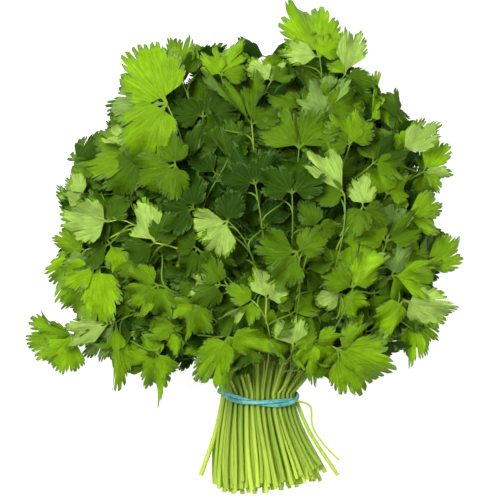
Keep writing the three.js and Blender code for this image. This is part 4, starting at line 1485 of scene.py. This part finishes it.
def grow_middle():
    """The lines of the middle's stems and stalks, and its leaflets."""
    rng = random.Random(MIDDLE_SEED)
    low_rng = random.Random(LOW_SEED)
    places = sorted(middle_places())
    lines = []
    leaflets = []
    for k, ((x, z), hub) in enumerate(zip(places, middle_hubs(len(places), rng))):
        spot = NECK_CENTRE + Vector((x, 0, z))
        end = END_CENTRE + Vector((x * END_HALF.x / NECK_HALF.x, rng.uniform(-1, 1) * CUT_SPREAD,
                                   z * END_HALF.z / NECK_HALF.z))
        depth = rng.uniform(mix(*HUB_DEPTHS[:2], out_from_centre(hub)), HUB_DEPTHS[2]) * MM
        hub.z = max(crown_height(hub) - depth, LOWEST_HUB)
        spare = k % LEAVES_ON_EVERY > 0
        if spare and z < 0:
            hub.z = min(low_rng.uniform(*LOW_HUBS), hub.z)
        heading = math.atan2(hub.y - NECK_CENTRE.y, hub.x - NECK_CENTRE.x)
        arrival = Vector((math.cos(heading), math.sin(heading), ARRIVES_RISING)).normalized()
        leaving = Vector((LEANS_ASIDE * x / NECK_HALF.x, 1, LEANS_UP * z / NECK_HALF.z))
        leaving.normalize()
        above = steered(spot, leaving, hub, arrival, MIDDLE_EARLY)
        lines.append(stem_line(loosened(below_band(end, spot), rng), above,
                               rng.uniform(*MIDDLE_TONES), 0.0, rng.uniform(*STOUT)))
        if spare and z >= 0:
            continue
        chance = low_rng if spare else rng
        under = (crown_height(hub) - hub.z) if spare else depth
        found = small_leaf(hub, heading, chance.uniform(*MIDDLE_SIZES) * MM, chance, under)
        deepest = DEEPEST_BELOW if spare else DEEPEST_IN_MIDDLE
        for small, curve in side_leaves(above, chance, deepest):
            lines.append(stalk_line(curve, 0.0, STEPS_OF_SMALL_STALK))
            found += small
        leaflets += [hung(leaflet, chance.choice(MIDDLE_SHADE_WORDS), chance) for leaflet in found]
    return lines, leaflets


middle_lines, middle_leaflets = grow_middle()
stand_for(grown_stems("middle_stems", middle_lines), "inner_stems")
for k in range(MIDDLE_PIECES):
    part = middle_leaflets[k::MIDDLE_PIECES]
    stand_for(grown_leaves(f"middle_leaves_{k + 1}", part), "inner_stems")
print("middle:", len(middle_places()), "stems,", len(middle_leaflets), "leaflets")

# %% [markdown]
# ## Stems without leaves
#
# Two stems have lost their leaves and stick out at the sides of the cut ends, and a thin stalk
# has slipped out of the band and hangs in a loop. Their lines are the ring centres of the
# packed tubes, smoothed.

# %% Loose stems
STEPS_BETWEEN_RINGS = 6


def smoothed(points):
    """A round line through the points."""
    line = []
    padded = [points[0] * 2 - points[1], *points, points[-1] * 2 - points[-2]]
    for before, start, end, after in zip(padded, padded[1:], padded[2:], padded[3:]):
        for k in range(STEPS_BETWEEN_RINGS):
            t = k / STEPS_BETWEEN_RINGS
            line.append(0.5 * (2 * start + (end - before) * t
                               + (2 * before - 5 * start + 4 * end - after) * t ** 2
                               + (3 * start - before - 3 * end + after) * t ** 3))
    return [*line, points[-1]]


# The slipped stalk comes out from under the band here.
UNDER_BAND = NECK_CENTRE + Vector((NECK_HALF.x + 2 * MM, -4.5 * MM, 5 * MM))
BELOW_BAND = NECK_CENTRE.y - 4 * MM
LOOSE_GIRTHS = {"loose_stem_1": 1.15 * MM, "loose_stem_2": 1.5 * MM, "slipped_stalk": 0.6 * MM}
LOOSE_TONE = 0.8


def rounder(rings):
    """The same line with its inner points moved half way to their neighbours' middle."""
    inner = [(a + 2 * b + c) / 4 for a, b, c in zip(rings, rings[1:], rings[2:])]
    return [rings[0], *inner, rings[-1]]


for node, girth in LOOSE_GIRTHS.items():
    rings = tube_rings(*welded(node))
    if node == "slipped_stalk":
        below = [ring for ring in rings if ring.y < BELOW_BAND]
        rings = rounder(rounder([*below, UNDER_BAND]))
    line = smoothed(rings)
    lines = [(line, [girth] * len(line), [LOOSE_TONE] * len(line))]
    stand_for(grown_stems(node + "_drawn", lines), node)
    print(node, "has", len(line), "points")

# %% [markdown]
# ## The rubber band
#
# One closed loop of flat rubber goes round the neck twice, and its two turns twist about each
# other. The loop is a line whose points know which way is out, turned a little more from each
# to the next, and a node tree draws a rounded flat section along it.

# %% The band's line
STRAND_WIDTH = 2.3 * MM
STRAND_THICKNESS = 1.25 * MM
STRANDS_APART = 0.75 * MM
STRANDS_STEP = 1.2 * MM
BAND_TWISTS = 2.5
TWIST_STARTS = 0.6
STRAND_TILT = 0.35
STRAND_ROUNDED = 0.4
BAND_TURNS = 2
BAND_SAG = 5 * MM
SAG_BELOW = 0.2
BAND_TILT = 2 * MM
BAND_STEPS = 220


def band_place(share):
    """A place on the band's line and the way out from the neck there."""
    around = 2 * math.pi * BAND_TURNS * share
    twist = BAND_TWISTS * around + TWIST_STARTS
    out = BAND_GIRTH + STRAND_THICKNESS / 2 + STRANDS_APART * (1 + math.sin(twist))
    x = (NECK_HALF.x + out) * math.cos(around)
    z = (NECK_HALF.z + out) * math.sin(around)
    sag = BAND_SAG * max(math.sin(around), SAG_BELOW * math.sin(around))
    y = STRANDS_STEP * math.cos(twist) - (sag + BAND_TILT * math.cos(around))
    outward = Vector((x / NECK_HALF.x ** 2, 0, z / NECK_HALF.z ** 2)).normalized()
    return NECK_CENTRE + Vector((x, y, z)), outward


def band_layout():
    places = [band_place(k / BAND_STEPS) for k in range(BAND_STEPS)]
    mesh = bpy.data.meshes.new("band_layout")
    mesh.from_pydata([spot for spot, _ in places],
                     [(k, (k + 1) % BAND_STEPS) for k in range(BAND_STEPS)], [])
    twists = [BAND_TWISTS * 2 * BAND_TURNS * math.pi * k / BAND_STEPS for k in range(BAND_STEPS)]
    carry(mesh, "outward", [c for _, way in places for c in way], "FLOAT_VECTOR")
    carry(mesh, "tilt_by", [STRAND_TILT * math.cos(twist) for twist in twists])
    return mesh


# %% The band's tree
def band_tree():
    tree, w, given, result = new_tree("draw_band", "GeometryNodeTree", [
        ("Band line", "NodeSocketGeometry"),
        ("Strand width", "NodeSocketFloat"),
        ("Strand thickness", "NodeSocketFloat"),
        ("Band material", "NodeSocketMaterial"),
    ], [("Band", "NodeSocketGeometry")])
    line = w.node("GeometryNodeMeshToCurve", given["Band line"])
    facing = w.node("GeometryNodeSetCurveNormal", line.outputs[0], mode="FREE")
    w.plug(facing.inputs["Normal"], w.attribute("outward", "FLOAT_VECTOR"))
    tilted = w.node("GeometryNodeSetCurveTilt", facing.outputs[0], None, w.attribute("tilt_by"))
    section = w.node("GeometryNodeCurvePrimitiveQuadrilateral", given["Strand thickness"],
                     given["Strand width"])
    rounded = w.node("GeometryNodeFilletCurve", section.outputs[0], mode="POLY")
    rounded.inputs["Count"].default_value = 3
    w.plug(rounded.inputs["Radius"], w.math("MULTIPLY", given["Strand thickness"], STRAND_ROUNDED))
    skin = w.node("GeometryNodeCurveToMesh", tilted.outputs[0], rounded.outputs[0])
    real = w.node("GeometryNodeRealizeInstances", skin.outputs[0])
    coloured = w.node("GeometryNodeSetMaterial", real.outputs[0], None, given["Band material"])
    tree.links.new(coloured.outputs[0], result["Band"])
    return tree


# %% Rubber
RUBBER_DEEP = linear(40, 122, 122)
RUBBER_PALE = linear(118, 190, 180)


def rubber_material():
    material, w = new_material("turquoise_rubber")
    place = w.node("ShaderNodeTexCoord").outputs["Object"]
    # The rubber is deep teal and pale teal in random patches.
    teal_patches = use_group(w, MOTTLE, Place=place, Scale=240.0, Amount=0.9)
    colour = blend(w, between(w, teal_patches, 0.75, 1.25), RUBBER_DEEP, RUBBER_PALE)
    grain = use_group(w, MOTTLE, Place=place, Scale=1500.0, Amount=1.0)
    skin = w.named("ShaderNodeBsdfPrincipled", Base_Color=colour, Roughness=0.42,
                   Normal=bumps(w, grain, 0.4, 0.1 * MM))
    w.node("ShaderNodeOutputMaterial", skin.outputs[0])
    return material


RUBBER = rubber_material()
band = grown("rubber_band_drawn", band_layout(), band_tree(), Strand_width=STRAND_WIDTH,
             Strand_thickness=STRAND_THICKNESS, Band_material=RUBBER)
stand_for(band, "rubber_band")
print("band:", len(band.data.polygons), "faces")

# %% [markdown]
# ## Table, light and camera
#
# The bunch lies on a white table in a light tent: a bright even surround, a large soft light
# from the upper left and a weaker one from the right. The camera is far above and looks
# straight down through a long lens, so that the leaves on top don't look larger than they are.

# %% Table
TABLE_SEEN = 0.35
TABLE_BOUNCE = 0.6
TABLE_GLOW = 0.9
TABLE_HALF = 3.0
TABLE_GAP = 0.1 * MM


def table_material():
    """White to the eye, and a little darker as a source of light for the bunch on it."""
    material, w = new_material("white_table")
    seen = w.node("ShaderNodeLightPath").outputs["Is Camera Ray"]
    white = w.math("MULTIPLY_ADD", seen, TABLE_SEEN - TABLE_BOUNCE, TABLE_BOUNCE)
    grey = w.node("ShaderNodeCombineColor", white, white, white)
    skin = w.named("ShaderNodeBsdfPrincipled", Base_Color=grey.outputs[0], Roughness=0.8,
                   Emission_Color=(1, 1, 1, 1),
                   Emission_Strength=w.math("MULTIPLY", seen, TABLE_GLOW))
    w.node("ShaderNodeOutputMaterial", skin.outputs[0])
    return material


table_mesh = bpy.data.meshes.new("table")
table_mesh.from_pydata([(x * TABLE_HALF, y * TABLE_HALF, -TABLE_GAP)
                        for x, y in ((-1, -1), (1, -1), (1, 1), (-1, 1))], [], [(0, 1, 2, 3)])
table_mesh.materials.append(table_material())
table = bpy.data.objects.new("table", table_mesh)
bpy.context.scene.collection.objects.link(table)

# %% Light
MIDDLE = Vector((0, 0, cad_high.z / 2))


def soft_light(name, place, size, power):
    lamp = bpy.data.lights.new(name, "AREA")
    lamp.size = size
    lamp.energy = power
    lit = bpy.data.objects.new(name, lamp)
    lit.location = place
    lit.rotation_euler = (MIDDLE - Vector(place)).to_track_quat("-Z", "Y").to_euler()
    lit.visible_camera = False
    bpy.context.scene.collection.objects.link(lit)


soft_light("key", (-0.55, 0.5, 1.3), size=0.7, power=32.5)
soft_light("side", (0.9, -0.2, 1.0), size=0.8, power=7)

SURROUND_LIGHT = 0.36
SURROUND_SEEN = 0.97
surround = bpy.data.worlds.new("light_tent")
surround.use_nodes = True
surround.node_tree.nodes.clear()
sky = Wiring(surround.node_tree)
seen = sky.node("ShaderNodeLightPath").outputs["Is Camera Ray"]
strength = sky.math("MULTIPLY_ADD", seen, SURROUND_SEEN - SURROUND_LIGHT, SURROUND_LIGHT)
tent = sky.node("ShaderNodeBackground", (1, 1, 1, 1), strength)
sky.node("ShaderNodeOutputWorld", tent.outputs[0])
bpy.context.scene.world = surround
bpy.context.scene.view_settings.view_transform = "Standard"

# %% Camera
CAMERA_HEIGHT = 1.9
FRAME_WIDTH = 280 * MM
FRAME_CENTRE_X = 2.7 * MM
SENSOR = 36
camera = bpy.data.cameras.new("camera")
camera.sensor_width = SENSOR
camera.lens = SENSOR * (CAMERA_HEIGHT - MIDDLE.z) / FRAME_WIDTH
eye = bpy.data.objects.new("camera", camera)
eye.location = (FRAME_CENTRE_X, 0, CAMERA_HEIGHT)
bpy.context.scene.collection.objects.link(eye)
bpy.context.scene.camera = eye

# %% Clearing up
for shape in list(shape_shelf.objects):
    bpy.data.objects.remove(shape)
bpy.data.collections.remove(shape_shelf)
